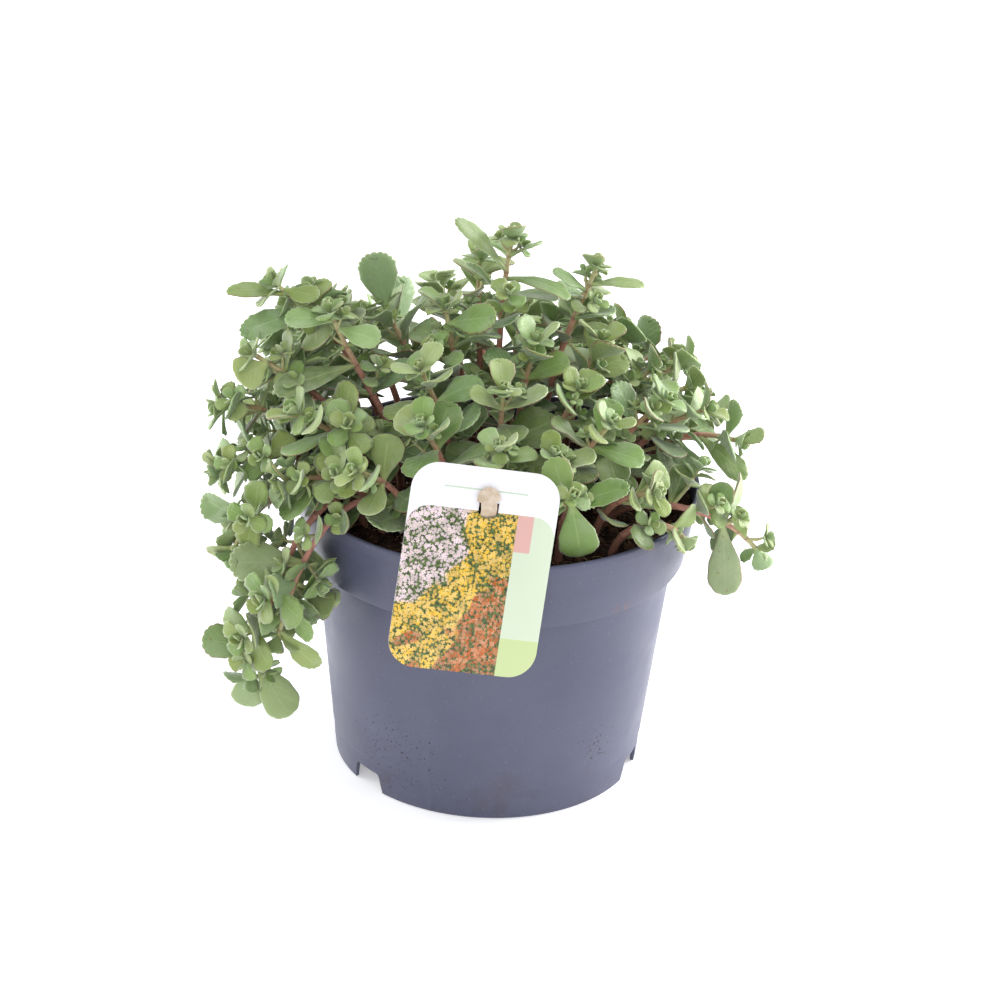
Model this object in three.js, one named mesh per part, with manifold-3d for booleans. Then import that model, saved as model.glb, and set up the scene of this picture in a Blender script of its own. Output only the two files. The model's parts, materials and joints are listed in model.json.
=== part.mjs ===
// Potted two-row stonecrop: a nursery pot filled with soil, a plant label on its stake,
// and the leafy shoots of the plant, each one solid with its stem and leaves.
// Millimetres, +Z up. The origin is on the pot's axis, in the plane that the pot stands on.
// -Y is the front, where the label hangs over the rim.
import * as THREE from 'three';
import { mergeVertices } from 'three/addons/utils/BufferGeometryUtils.js';
import Module from 'manifold-3d';

const wasm = await Module();
wasm.setup();

// Pot
const POT = {
  height: 128,
  rimRadius: 85,
  lipRadius: 84.6,
  lipHeight: 5,
  bandTopRadius: 84,
  bandHeight: 30,
  bandFootRadius: 80.3,
  bodyTopRadius: 75.6,
  ringHeight: 14,
  ringStep: 0.35,
  footRadius: 65,
  wall: 1.5,
  floor: 1.6,
  discRadius: 44,
  channelHeight: 9.6,
  ramp: 1.6,
  innerRamp: [3, 1.4],
  edge: 0.4,
  bandEdge: 0.6,
  innerBand: [2.2, 1.4],
  rimRound: [0.5, 0.3, 0.7],
  segments: 40,
};
const NOTCH = {
  count: 3, firstAzimuth: 101, width: 19, topWidth: 14.5, height: 9, below: 2, depth: 10,
};
const DRAIN = { count: 6, radius: 3.6, ring: 54.5, sides: 8, depth: 8 };

// Soil
const CLEARANCE = 0.3;
// Height at which the soil's top points wait until they are set on its surface
const SOIL_LID = 1000;
const SOIL = { level: 119, segments: 30, rings: [66, 44, 22], edgePlay: 0.35, bandPlay: 0.1 };
const SOIL_WAVES = { coarse: 1.1, fine: 0.7 };
const SOIL_BANK = { x: 62, y: 40, height: 7, spread: 900 };

// Label card and its stake
const CARD = {
  centre: [-7.5, -88, 128.6],
  yaw: 10.7,
  lean: -15.6,
  spin: 9.1,
  width: 60,
  height: 83,
  thickness: 0.8,
  corner: 11,
  slitWidth: 8,
  slitHeight: 6.6,
  slitX: 2,
  slitZ: 24.5,
};
const STAKE = {
  width: 6.4,
  thickness: 1.2,
  behind: 0.7,
  before: 1.75,
  footBack: 4.4,
  foot: -49.6,
  tipLength: 12,
  bend: [-3, 1.4],
  neckTop: 9.8,
  headWidth: 9.4,
  headHeight: 5.2,
  slotDepth: 60,
  sheetDepth: 40,
};

// Stems
const STEM = {
  rootRadius: 1.8,
  tipRadius: 0.95,
  sides: 4,
  corner: 1.15,
  buried: 10,
  holePlay: 0.5,
  longestStretch: 20,
  nodeSpacing: 2.6,
};
const HOLE = { rise: 7, extraDepth: 0.6 };
const ARC_STEPS = 40;
// Shares of a shoot's reach at which the arch rises and bends, and its shortest end piece
const ARCH = { rising: 0.1, bending: 0.72, shortestEnd: 0.3 };

// Each shoot: tip x, y, z, root x, y, first rise of the arch, height of its second bend,
// sideways bow, number of leaf pairs, length of its largest leaves, turn of the first pair.
const SHOOTS = [
  [2, 20, 226, -2, 12, 60, 205, 3, 7, 22, 20],
  [-11, 34, 210, -8, 24, 55, 188, 2, 7, 21, 0],
  [37, 26, 212, 16, 14, 55, 195, 0, 7, 20, 20],
  [-50, 26, 191, -26, 12, 50, 178, 0, 6, 24, 0],
  [-92, 2, 208, -40, 3, 50, 196, 0, 6, 20, 0],
  [-70, -12, 203, -30, -16, 24, 176, 0, 6, 23, 0],
  [-70, 24, 190, -38, 20, 50, 180, 0, 6, 24, 0],
  [-24, 2, 201, -14, -2, 50, 186, 0, 7, 25, 0],
  [-27, 48, 192, -14, 36, 50, 182, 0, 6, 24, 0],
  [20, 34, 183, 8, 28, 50, 176, 0, 6, 22, 0],
  [50, 44, 178, 28, 28, 45, 170, 0, 6, 23, 0],
  [13, -8, 192, 6, -6, 45, 180, 0, 7, 25, 20],
  [40, 6, 188, 24, 0, 45, 176, 0, 6, 25, 0],
  [62, 20, 170, 38, 12, 40, 164, 0, 6, 23, 30],
  [-32, -32, 188, -16, -24, 40, 176, 0, 7, 25, 0],
  [-30, -54, 174, -16, -42, 34, 164, 0, 5, 22, 30],
  [1, -36, 182, 0, -26, 40, 170, 0, 6, 26, 0],
  [0, -60, 168, 2, -46, 30, 158, 0, 5, 24, 45],
  [31, -22, 178, 19, -18, 36, 168, 0, 6, 25, 0],
  [44, -42, 173, 27, -32, 34, 164, 0, 5, 24, 20],
  [22, -58, 165, 18, -46, 30, 156, 0, 5, 24, 0],
  [30, -70, 153, 26, -58, 22, 148, 0, 5, 28, 0],
  [62, -52, 148, 40, -44, 22, 146, 0, 6, 23, 0],
  [66, -16, 172, 42, -12, 34, 164, 0, 6, 24, 0],
  [76, -54, 130, 48, -50, 14, 140, 0, 6, 17, 20],
  [84, -2, 163, 50, 2, 30, 158, 0, 6, 23, 0],
  [78, 26, 160, 48, 22, 34, 157, 0, 6, 21, 40],
  [99, 10, 144, 60, 12, 24, 148, 0, 6, 22, 0],
  [108, -28, 113, 44, -26, 16, 141, -12, 8, 20, 45],
  [78, 50, 160, 50, 36, 36, 158, 0, 5, 22, 0],
  [-100, -18, 186, -44, -12, 34, 176, 0, 6, 22, 0],
  [-113, -8, 158, -56, -2, 30, 160, 0, 8, 23, 20],
  [-112, -28, 139, -56, -20, 28, 150, 0, 8, 23, 0],
  [-80, -38, 170, -44, -26, 30, 162, 0, 6, 25, 0],
  [-84, -52, 146, -46, -38, 26, 150, 0, 7, 23, 0],
  [-55, -62, 157, -34, -44, 26, 152, 0, 6, 23, 0],
  [-106, -46, 112, -54, -34, 20, 151, 0, 8, 23, 0],
  [-97, -60, 62, -34, -24, 10, 176, 4, 9, 22, 70],
  [-86, -66, 84, -28, -31, 10, 169, 3, 8, 21, 80],
  [-96, 24, 176, -52, 16, 34, 170, 0, 6, 22, 0],
  [-84, 54, 164, -48, 36, 36, 164, 0, 6, 24, 0],
  [-56, 88, 156, -30, 50, 36, 162, 0, 6, 26, 30],
  [-10, 98, 150, -6, 56, 34, 158, 0, 6, 26, 0],
  [34, 94, 151, 18, 54, 32, 158, 0, 6, 26, 0],
  [70, 76, 150, 38, 44, 34, 158, 0, 6, 25, 0],
  [90, 42, 142, 56, 32, 28, 150, 0, 6, 22, 0],
  [-104, 44, 132, -60, 34, 24, 150, 0, 7, 22, 0],
  [8, 60, 176, 4, 44, 46, 172, 0, 5, 25, 0],
];

// Leaves with a place of their own: shoot, distance below its tip, where the leaf's own
// tip lies, its width, how far it arches in radians, and the way that its face looks.
const FEATURES = [
  [0, 14, -22, 15, 236, 9, 0.5, 0.3, -0.5, 1],
  [0, 17, 27, 10, 205, 10, 0.8, 0.2, -0.3, 1],
  [2, 7, 58, 28, 205, 8, 0.4, 0, -0.3, 1],
  [2, 10, 19, 20, 213, 9, 0.3, 0, -0.3, 1],
  [3, 2, -55, 20, 218, 17, 0.15, 0, 1, -0.35],
  [4, 5, -114, 0, 206, 10, 0.35, -0.2, -0.3, 1],
  [4, 2, -76, -8, 208, 11, 0.3, 0, -0.5, 1],
  [4, 14, -107, -12, 192, 13, 0.3, -0.3, -0.7, 0.6],
  [30, 6, -107, -28, 180, 16, 0.2, -0.2, -0.9, 0.5],
  [5, 3, -89, -14, 201, 12, 0.3, 0, -0.5, 1],
  [5, 7, -50, -20, 195, 13, 0.4, 0, -0.6, 1],
  [5, 24, -92, -27, 174, 13, 0.2, 0, -0.6, 1],
  [27, 4, 98, 9, 163, 10, 0.1, 0.8, 0.6, 0],
  [27, 1, 111, 9, 149, 9, 0.3, 0, 0.5, -1],
  [27, 16, 104, 0, 131, 11, 0.3, 0.2, -0.7, 0.7],
  [28, 21, 96, -42, 98, 15, 0.15, 0, 1, -0.2],
  [28, 1, 113, -34, 107, 11, 0.2, -0.3, 0.6, -0.8],
  [28, 21, 91, -34, 146, 11, 0.2, 0, -1, 0.2],
  [28, 8, 99, -34, 134, 8, 0.25, 0.1, -0.9, 0.3],
  [21, 2, 35, -69, 127, 17, 0.15, 0, -0.9, 0.4],
  [21, 4.8, 21, -64, 168, 13, 0.2, 0, -0.9, 0.6],
  [21, 8, 53, -64, 157, 11, 0.2, 0, -0.6, 0.9],
  [38, 33, -107, -62, 114, 18, 0.15, -0.1, 0.8, -0.6],
  [37, 12, -118, -60, 77, 15, 0.2, 0, 0.9, -0.4],
  [37, 2, -100, -65, 49, 14, 0.2, 0, 0.9, -0.4],
  [37, 7, -81, -70, 48, 16, 0.2, 0, 0.9, -0.4],
  [38, 2, -69, -68, 71, 11, 0.4, -0.6, -0.7, 0.3],
  [7, 6, -3, -8, 203, 15, 0.3, 0, -0.7, 0.8],
];

// Leaf pairs down a stem: distance below the tip, share of the largest leaf, angle off the stem.
const PAIRS = [
  [1, 0.34, 24],
  [3.5, 0.55, 40],
  [8.5, 0.76, 54],
  [17, 0.93, 62],
  [29, 1, 68],
  [43, 0.96, 72],
  [58, 0.86, 76],
  [73, 0.8, 78],
  [88, 0.75, 78],
];

// Ways that a leaf gives way to its neighbours: more angle off the stem, swing round the
// stem, and share of its size. The first that is clear is taken, else the leaf is left out.
const TRIES = [
  [0, 0, 1], [14, 0, 1], [-14, 0, 1], [0, 22, 1], [0, -22, 1],
  [18, 22, 0.95], [18, -22, 0.95], [-18, 22, 0.95], [-18, -22, 0.95],
  [28, 40, 0.85], [28, -40, 0.85], [-26, 35, 0.8], [-26, -35, 0.8],
  [10, 40, 0.7], [10, -40, 0.7], [30, 0, 0.6], [-20, 0, 0.5],
];

// Leaf blade: half-widths along its length, with one scallop on each side of the round top
const LEAF = {
  outline: [[0.64, 1], [0.78, 0.84], [0.91, 0.76]],
  smallOutline: [[0.62, 0.95], [0.88, 0.8]],
  smallBelow: 11,
  bulge: 0.62,
  thickness: 1.25,
  footShare: 0.45,
  footLeast: 0.1,
  smallThickness: 0.85,
  lift: 0.22,
  featureFold: 0.15,
  referenceLength: 26,
  leastPlace: 8,
};
// The light that faces turn to: outward from the pot's axis, upward and along the stem
const LIGHT = { outward: 0.45, level: 20, along: 0.55, upward: 0.6 };
const BLADE = { widest: 0.64, stalk: 0.14 };
const DRAWS = {
  seed: 7,
  seedStep: 101,
  swing: 14,
  length: [0.84, 1.12],
  width: [0.68, 0.86],
  curl: [0.1, 0.75],
  fold: [0.05, 0.35],
  roll: 24,
  spread: 9,
};

// Points of a blade that are tested against what is there already
const PROBES = [
  [0.12, 0], [0.22, 0],
  [0.32, -0.7], [0.32, 0], [0.32, 0.7],
  [0.39, 0], [0.46, -0.9], [0.46, -0.3], [0.46, 0.3], [0.46, 0.9], [0.54, 0],
  [0.62, -0.92], [0.62, -0.46], [0.62, 0], [0.62, 0.46], [0.62, 0.92],
  [0.7, 0], [0.78, -0.9], [0.78, -0.45], [0.78, 0], [0.78, 0.45], [0.78, 0.9], [0.86, 0],
  [0.94, -0.8], [0.94, -0.27], [0.94, 0.27], [0.94, 0.8],
];
const STALK_PROBES = 2;
const STALK_REACH = 4;
const STALK_RADIUS = 0.5;
const PROBE_RADIUS = 1.55;
const STEM_MARGIN = 0.6;
const MOST_TWIST = { pair: 60, feature: 62 };
const SIDE_CHOICE = { degreesPerShare: 60, least: 0.25, refusal: 9 };
const POT_GAP = 1.6;
const SOIL_GAP = 1.8;
const CARD_HALF = 1.2;
const CELL = 4.2;
const STEM_BALL_STEP = 2;

const radians = THREE.MathUtils.degToRad;
const vec = (x, y, z) => new THREE.Vector3(x, y, z);
const mix = (...terms) => {
  const sum = vec(0, 0, 0);
  for (const [v, k] of terms) sum.addScaledVector(v, k);
  return sum;
};

// A linear congruential draw, alike for every run.
class Draw {
  constructor(seed) {
    this.state = seed;
  }
  within(low, high) {
    this.state = (Math.imul(this.state, 1664525) + 1013904223) >>> 0;
    return low + ((high - low) * this.state) / 4294967296;
  }
}

// Closed meshes and solids

function closedMesh(geometry) {
  const bare = geometry.clone();
  bare.deleteAttribute('normal');
  bare.deleteAttribute('uv');
  const merged = mergeVertices(bare, 1e-4);
  const index = merged.index.array;
  const kept = [];
  for (let i = 0; i < index.length; i += 3) {
    const [a, b, c] = [index[i], index[i + 1], index[i + 2]];
    if (a !== b && b !== c && c !== a) kept.push(a, b, c);
  }
  const at = merged.attributes.position;
  let volume = 0;
  for (let i = 0; i < kept.length; i += 3) {
    const [a, b, c] = kept.slice(i, i + 3).map((k) => vec(at.getX(k), at.getY(k), at.getZ(k)));
    volume += a.dot(b.cross(c));
  }
  if (volume < 0) {
    for (let i = 0; i < kept.length; i += 3) [kept[i], kept[i + 1]] = [kept[i + 1], kept[i]];
  }
  return { points: new Float32Array(at.array), triangles: new Uint32Array(kept) };
}

function solidOf(geometry) {
  const { points, triangles } = closedMesh(geometry);
  return new wasm.Manifold(
    new wasm.Mesh({ numProp: 3, vertProperties: points, triVerts: triangles }),
  );
}

function geometryOf(solid) {
  const { vertProperties, triVerts } = solid.getMesh();
  const geometry = new THREE.BufferGeometry();
  geometry.setAttribute('position', new THREE.BufferAttribute(new Float32Array(vertProperties), 3));
  geometry.setIndex(new THREE.BufferAttribute(new Uint32Array(triVerts), 1));
  return geometry;
}

function facets(points, triangles) {
  const geometry = new THREE.BufferGeometry();
  const flat = new Float32Array(points.flatMap((p) => [p.x, p.y, p.z]));
  geometry.setAttribute('position', new THREE.BufferAttribute(flat, 3));
  geometry.setIndex(triangles);
  return geometry;
}

function turned(profile, segments) {
  const points = profile.map(([r, z]) => new THREE.Vector2(r, z));
  return new THREE.LatheGeometry(points, segments).rotateX(Math.PI / 2);
}

// Pot

function outerRadius(z) {
  const bandFoot = POT.height - POT.bandHeight;
  if (z > bandFoot) {
    const up = (z - bandFoot) / POT.bandHeight;
    return POT.bandFootRadius + (POT.rimRadius - POT.bandFootRadius) * up;
  }
  return POT.footRadius + (POT.bodyTopRadius - POT.footRadius) * (z / bandFoot);
}

function potSolid() {
  const bandFoot = POT.height - POT.bandHeight;
  const lip = POT.height - POT.lipHeight;
  const ring = outerRadius(POT.ringHeight);
  const roofTop = POT.channelHeight + POT.floor;
  const [rampTop, rampFoot] = POT.innerRamp;
  const [innerTop, innerFoot] = POT.innerBand;
  const [rimOuter, rimInner, rimDrop] = POT.rimRound;
  const profile = [
    [0, 0],
    [POT.discRadius, 0],
    [POT.discRadius + POT.ramp, POT.channelHeight],
    [POT.footRadius - POT.wall + POT.edge, POT.channelHeight],
    [POT.footRadius - POT.wall, 0],
    [POT.footRadius, 0],
    [ring - POT.ringStep, POT.ringHeight - POT.edge],
    [ring, POT.ringHeight + POT.edge],
    [POT.bodyTopRadius, bandFoot - POT.bandEdge],
    [POT.bandFootRadius, bandFoot + POT.bandEdge],
    [POT.bandTopRadius, lip - POT.edge],
    [POT.lipRadius, lip + POT.edge],
    [POT.rimRadius, POT.height - rimDrop],
    [POT.rimRadius - rimOuter, POT.height],
    [POT.rimRadius - POT.wall, POT.height],
    [POT.rimRadius - POT.wall - rimInner, POT.height - rimDrop],
    [POT.bandFootRadius - POT.wall, bandFoot + innerTop],
    [POT.bodyTopRadius - POT.wall, bandFoot - innerFoot],
    [outerRadius(roofTop) - POT.wall, roofTop],
    [POT.discRadius + rampTop, roofTop],
    [POT.discRadius + rampFoot, POT.floor],
    [0, POT.floor],
  ];
  let pot = solidOf(turned(profile, POT.segments));
  const notch = new THREE.Shape([
    new THREE.Vector2(-NOTCH.width / 2, -NOTCH.below),
    new THREE.Vector2(NOTCH.width / 2, -NOTCH.below),
    new THREE.Vector2(NOTCH.topWidth / 2, NOTCH.height),
    new THREE.Vector2(-NOTCH.topWidth / 2, NOTCH.height),
  ]);
  for (let i = 0; i < NOTCH.count; i += 1) {
    const block = new THREE.ExtrudeGeometry(notch, { depth: NOTCH.depth, bevelEnabled: false });
    block.rotateX(Math.PI / 2);
    block.translate(0, POT.footRadius + NOTCH.depth / 2, 0);
    block.rotateZ(radians(NOTCH.firstAzimuth + (360 / NOTCH.count) * i - 90));
    pot = pot.subtract(solidOf(block));
  }
  for (let i = 0; i < DRAIN.count; i += 1) {
    const hole = new THREE.CylinderGeometry(DRAIN.radius, DRAIN.radius, DRAIN.depth, DRAIN.sides);
    hole.rotateX(Math.PI / 2);
    hole.translate(DRAIN.ring, 0, POT.channelHeight);
    hole.rotateZ(radians((360 / DRAIN.count) * (i + 0.5)));
    pot = pot.subtract(solidOf(hole));
  }
  return pot;
}

// Soil

function soilHeight(x, y) {
  const coarse = SOIL_WAVES.coarse * Math.sin(x * 0.19 + 0.6) * Math.cos(y * 0.17);
  const fine = SOIL_WAVES.fine * Math.sin(x * 0.37 + y * 0.29);
  const away = (x - SOIL_BANK.x) ** 2 + (y - SOIL_BANK.y) ** 2;
  return SOIL.level + coarse + fine + SOIL_BANK.height * Math.exp(-away / SOIL_BANK.spread);
}

function soilSolid() {
  const bandFoot = POT.height - POT.bandHeight;
  const roofTop = POT.channelHeight + POT.floor;
  const [rampTop, rampFoot] = POT.innerRamp;
  const [innerTop, innerFoot] = POT.innerBand;
  const edge = outerRadius(SOIL.level) - POT.wall - SOIL.edgePlay - CLEARANCE;
  const profile = [
    [0, POT.floor + CLEARANCE],
    [POT.discRadius + rampFoot - CLEARANCE, POT.floor + CLEARANCE],
    [POT.discRadius + rampTop - CLEARANCE, roofTop + CLEARANCE],
    [outerRadius(roofTop) - POT.wall - CLEARANCE, roofTop + CLEARANCE],
    [POT.bodyTopRadius - POT.wall - CLEARANCE - SOIL.bandPlay, bandFoot - innerFoot + SOIL.bandPlay],
    [POT.bandFootRadius - POT.wall - CLEARANCE - SOIL.bandPlay, bandFoot + innerTop + CLEARANCE],
    [edge, SOIL_LID],
    ...SOIL.rings.map((r) => [r, SOIL_LID]),
    [0, SOIL_LID],
  ];
  const body = turned(profile, SOIL.segments);
  const at = body.attributes.position;
  for (let i = 0; i < at.count; i += 1) {
    if (at.getZ(i) > SOIL_LID - 1) at.setZ(i, soilHeight(at.getX(i), at.getY(i)));
  }
  return solidOf(body);
}

// Label card and stake

const cardPose = new THREE.Matrix4()
  .makeRotationZ(radians(CARD.yaw))
  .multiply(new THREE.Matrix4().makeRotationX(radians(CARD.lean)))
  .multiply(new THREE.Matrix4().makeRotationY(radians(CARD.spin)))
  .setPosition(...CARD.centre);
const cardPoseBack = cardPose.clone().invert();

function roundedRectangle(width, height, corner) {
  const [x, y] = [width / 2, height / 2];
  const shape = new THREE.Shape();
  shape.absarc(x - corner, y - corner, corner, 0, Math.PI / 2, false);
  shape.absarc(-x + corner, y - corner, corner, Math.PI / 2, Math.PI, false);
  shape.absarc(-x + corner, -y + corner, corner, Math.PI, 1.5 * Math.PI, false);
  shape.absarc(x - corner, -y + corner, corner, 1.5 * Math.PI, 2 * Math.PI, false);
  return shape;
}

function cardSolid() {
  const face = roundedRectangle(CARD.width, CARD.height, CARD.corner);
  const plate = new THREE.ExtrudeGeometry(face, {
    depth: CARD.thickness, bevelEnabled: false, curveSegments: 6,
  });
  const slit = new THREE.BoxGeometry(CARD.slitWidth, CARD.slitHeight, 6 * CARD.thickness);
  slit.translate(CARD.slitX, CARD.slitZ, CARD.thickness / 2);
  const cut = solidOf(plate).subtract(solidOf(slit));
  const flat = geometryOf(cut).translate(0, 0, -CARD.thickness / 2).rotateX(Math.PI / 2);
  return solidOf(flat.applyMatrix4(cardPose));
}

// The stake's own frame: its origin in the slit, turned as the card is in plan.
const slitPoint = vec(CARD.slitX, 0, CARD.slitZ).applyMatrix4(cardPose);
const stakePose = new THREE.Matrix4().makeRotationZ(radians(CARD.yaw)).setPosition(slitPoint);

// The stake stands nearly upright behind the card, kinks forward through its slit and lies
// along its front, ending in a mushroom head.
function stakeSolid() {
  const half = STAKE.thickness / 2;
  const rise = Math.tan(radians(-CARD.lean));
  const [low, high] = STAKE.bend;
  const top = STAKE.neckTop;
  const centreLine = [
    [STAKE.footBack, STAKE.foot],
    [STAKE.behind, low],
    [-STAKE.before, high],
    [-STAKE.before + rise * (top - high), top],
  ];
  const side = new THREE.Shape([
    ...centreLine.map(([y, z], i) => new THREE.Vector2(y + half, z + (i % 3 ? half : 0))),
    ...centreLine.map(([y, z], i) => new THREE.Vector2(y - half, z - (i % 3 ? half : 0))).reverse(),
  ]);
  const slab = new THREE.ExtrudeGeometry(side, { depth: 2 * STAKE.headWidth, bevelEnabled: false });
  slab.translate(0, 0, -STAKE.headWidth);
  slab.applyMatrix4(new THREE.Matrix4().makeBasis(vec(0, 1, 0), vec(0, 0, 1), vec(1, 0, 0)));
  const [w, h] = [STAKE.width / 2, STAKE.headWidth / 2];
  const headFoot = top - STAKE.headHeight;
  const outline = new THREE.Shape();
  outline.moveTo(0, STAKE.foot - 0.1);
  outline.lineTo(w, STAKE.foot + STAKE.tipLength);
  outline.lineTo(w, headFoot - 0.8);
  outline.lineTo(h, headFoot + 0.6);
  outline.bezierCurveTo(h, top - 1, h * 0.6, top + 0.05, 0, top + 0.05);
  outline.bezierCurveTo(-h * 0.6, top + 0.05, -h, top - 1, -h, headFoot + 0.6);
  outline.lineTo(-w, headFoot - 0.8);
  outline.lineTo(-w, STAKE.foot + STAKE.tipLength);
  const sheet = new THREE.ExtrudeGeometry(outline, {
    depth: STAKE.sheetDepth, bevelEnabled: false, curveSegments: 4,
  });
  sheet.rotateX(Math.PI / 2).translate(0, STAKE.sheetDepth / 2, 0);
  const flat = geometryOf(solidOf(slab).intersect(solidOf(sheet)));
  return solidOf(flat.applyMatrix4(stakePose));
}

function stakeSlot() {
  const play = 2 * CLEARANCE + 0.1;
  const depth = STAKE.slotDepth;
  const slot = new THREE.BoxGeometry(STAKE.width + play, STAKE.thickness + play, depth);
  slot.translate(0, 0, depth / 2 - CLEARANCE);
  slot.rotateX(Math.atan2(STAKE.footBack - STAKE.behind, STAKE.bend[0] - STAKE.foot));
  slot.translate(0, STAKE.footBack, STAKE.foot);
  return solidOf(slot.applyMatrix4(stakePose));
}

// Stems

class Shoot {
  constructor(row) {
    const [x, y, z, rootX, rootY, rise, bend, bow, pairs, leaf, turn] = row;
    this.pairs = pairs;
    this.leaf = leaf;
    this.turn = turn;
    const [dx, dy] = [x - rootX, y - rootY];
    const reach = Math.hypot(dx, dy);
    this.side = vec(-dy / reach, dx / reach, 0);
    const ground = soilHeight(rootX, rootY) + CLEARANCE;
    const root = vec(rootX, rootY, ground);
    const bent = vec(rootX + dx * ARCH.bending, rootY + dy * ARCH.bending, bend);
    bent.addScaledVector(this.side, bow);
    const risen = vec(rootX + dx * ARCH.rising, rootY + dy * ARCH.rising, ground + rise);
    this.curve = new THREE.CubicBezierCurve3(root, risen, bent, vec(x, y, z));
    this.points = [];
    this.along = [0];
    for (let i = 0; i <= ARC_STEPS; i += 1) {
      this.points.push(this.curve.getPoint(i / ARC_STEPS));
      if (i > 0) this.along.push(this.along[i - 1] + this.points[i].distanceTo(this.points[i - 1]));
    }
    this.length = this.along[ARC_STEPS];
    this.nodes = [];
  }

  radius(distance) {
    const share = Math.max(0, distance) / this.length;
    return STEM.rootRadius + (STEM.tipRadius - STEM.rootRadius) * share;
  }

  place(distance) {
    const s = Math.min(this.length, Math.max(0, distance));
    let i = 0;
    while (i < ARC_STEPS - 1 && this.along[i + 1] < s) i += 1;
    const share = (s - this.along[i]) / (this.along[i + 1] - this.along[i]);
    const step = this.points[i + 1].clone().sub(this.points[i]);
    const point = this.points[i].clone().addScaledVector(step, share);
    return { point, tangent: step.normalize() };
  }

  frame(tangent) {
    const across = mix([this.side, 1], [tangent, -this.side.dot(tangent)]).normalize();
    return { across, up: tangent.clone().cross(across) };
  }

  // The direction out of one side of the stem.
  radial(tangent, side) {
    const { across, up } = this.frame(tangent);
    const angle = radians(this.turn + 90 * side);
    return mix([across, Math.cos(angle)], [up, Math.sin(angle)]);
  }

  // One corner of the four-sided stem, at a distance along it.
  corner(distance, index, radius) {
    const { point, tangent } = this.place(distance);
    const { across, up } = this.frame(tangent);
    const angle = radians(this.turn + 45 + 90 * index);
    const r = STEM.corner * radius;
    const below = Math.min(0, distance);
    return mix(
      [point, 1], [tangent, below], [across, r * Math.cos(angle)], [up, r * Math.sin(angle)],
    );
  }

  // The straight hole that the buried end stands in.
  holeSolid() {
    const radius = STEM.rootRadius + STEM.holePlay / STEM.corner;
    const points = [];
    for (const distance of [-STEM.buried - HOLE.extraDepth, 0]) {
      for (let c = 0; c < STEM.sides; c += 1) points.push(this.corner(distance, c, radius));
    }
    const { tangent } = this.place(0);
    for (const p of points.slice(STEM.sides)) p.addScaledVector(tangent, HOLE.rise);
    const triangles = [0, 2, 1, 0, 3, 2, 4, 5, 6, 4, 6, 7];
    for (let c = 0; c < STEM.sides; c += 1) {
      const d = (c + 1) % STEM.sides;
      triangles.push(c, d, d + 4, c, d + 4, c + 4);
    }
    return solidOf(facets(points, triangles));
  }

  // The stem node at a distance, shared with one that is very near.
  nodeAt(distance) {
    let node = this.nodes.find((other) => Math.abs(other.distance - distance) < STEM.nodeSpacing);
    if (!node) {
      node = { distance, feet: new Map() };
      this.nodes.push(node);
    }
    return node;
  }

  // Stem and leaves as one closed mesh: each leaf grows out of one side of the stem at its
  // node, so that the side's four corners are the foot of the leaf.
  geometry() {
    const points = [];
    const triangles = [];
    const add = (point) => points.push(point) - 1;
    const ring = (distance) => [0, 1, 2, 3].map(
      (c) => add(this.corner(distance, c, this.radius(distance))),
    );
    const cuts = [{ distance: -STEM.buried }, { distance: 0 }];
    for (const node of [...this.nodes].sort((m, n) => m.distance - n.distance)) {
      const half = LEAF.footLeast + LEAF.footShare * this.radius(node.distance);
      const gap = node.distance - half - cuts.at(-1).distance;
      const extra = Math.floor(gap / STEM.longestStretch);
      const start = cuts.at(-1).distance;
      for (let i = 1; i <= extra; i += 1) {
        cuts.push({ distance: start + (gap * i) / (extra + 1) });
      }
      cuts.push({ distance: node.distance - half }, { distance: node.distance + half, node });
    }
    if (cuts.at(-1).distance < this.length - ARCH.shortestEnd) cuts.push({ distance: this.length });
    let below = ring(cuts[0].distance);
    triangles.push(below[0], below[2], below[1], below[0], below[3], below[2]);
    for (const cut of cuts.slice(1)) {
      const above = ring(cut.distance);
      for (let side = 0; side < STEM.sides; side += 1) {
        const [left, right] = [(side + STEM.sides - 1) % STEM.sides, side];
        const leaf = cut.node?.feet.get(side);
        if (leaf) {
          leaf.growFrom(above[left], below[left], above[right], below[right], add, triangles);
        } else {
          triangles.push(below[left], below[right], above[right]);
          triangles.push(below[left], above[right], above[left]);
        }
      }
      below = above;
    }
    const end = this.place(this.length);
    const apex = add(mix([end.point, 1], [end.tangent, STEM.tipRadius]));
    for (let side = 0; side < STEM.sides; side += 1) {
      triangles.push(below[(side + STEM.sides - 1) % STEM.sides], below[side], apex);
    }
    return facets(points, triangles);
  }
}

// Leaves

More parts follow.
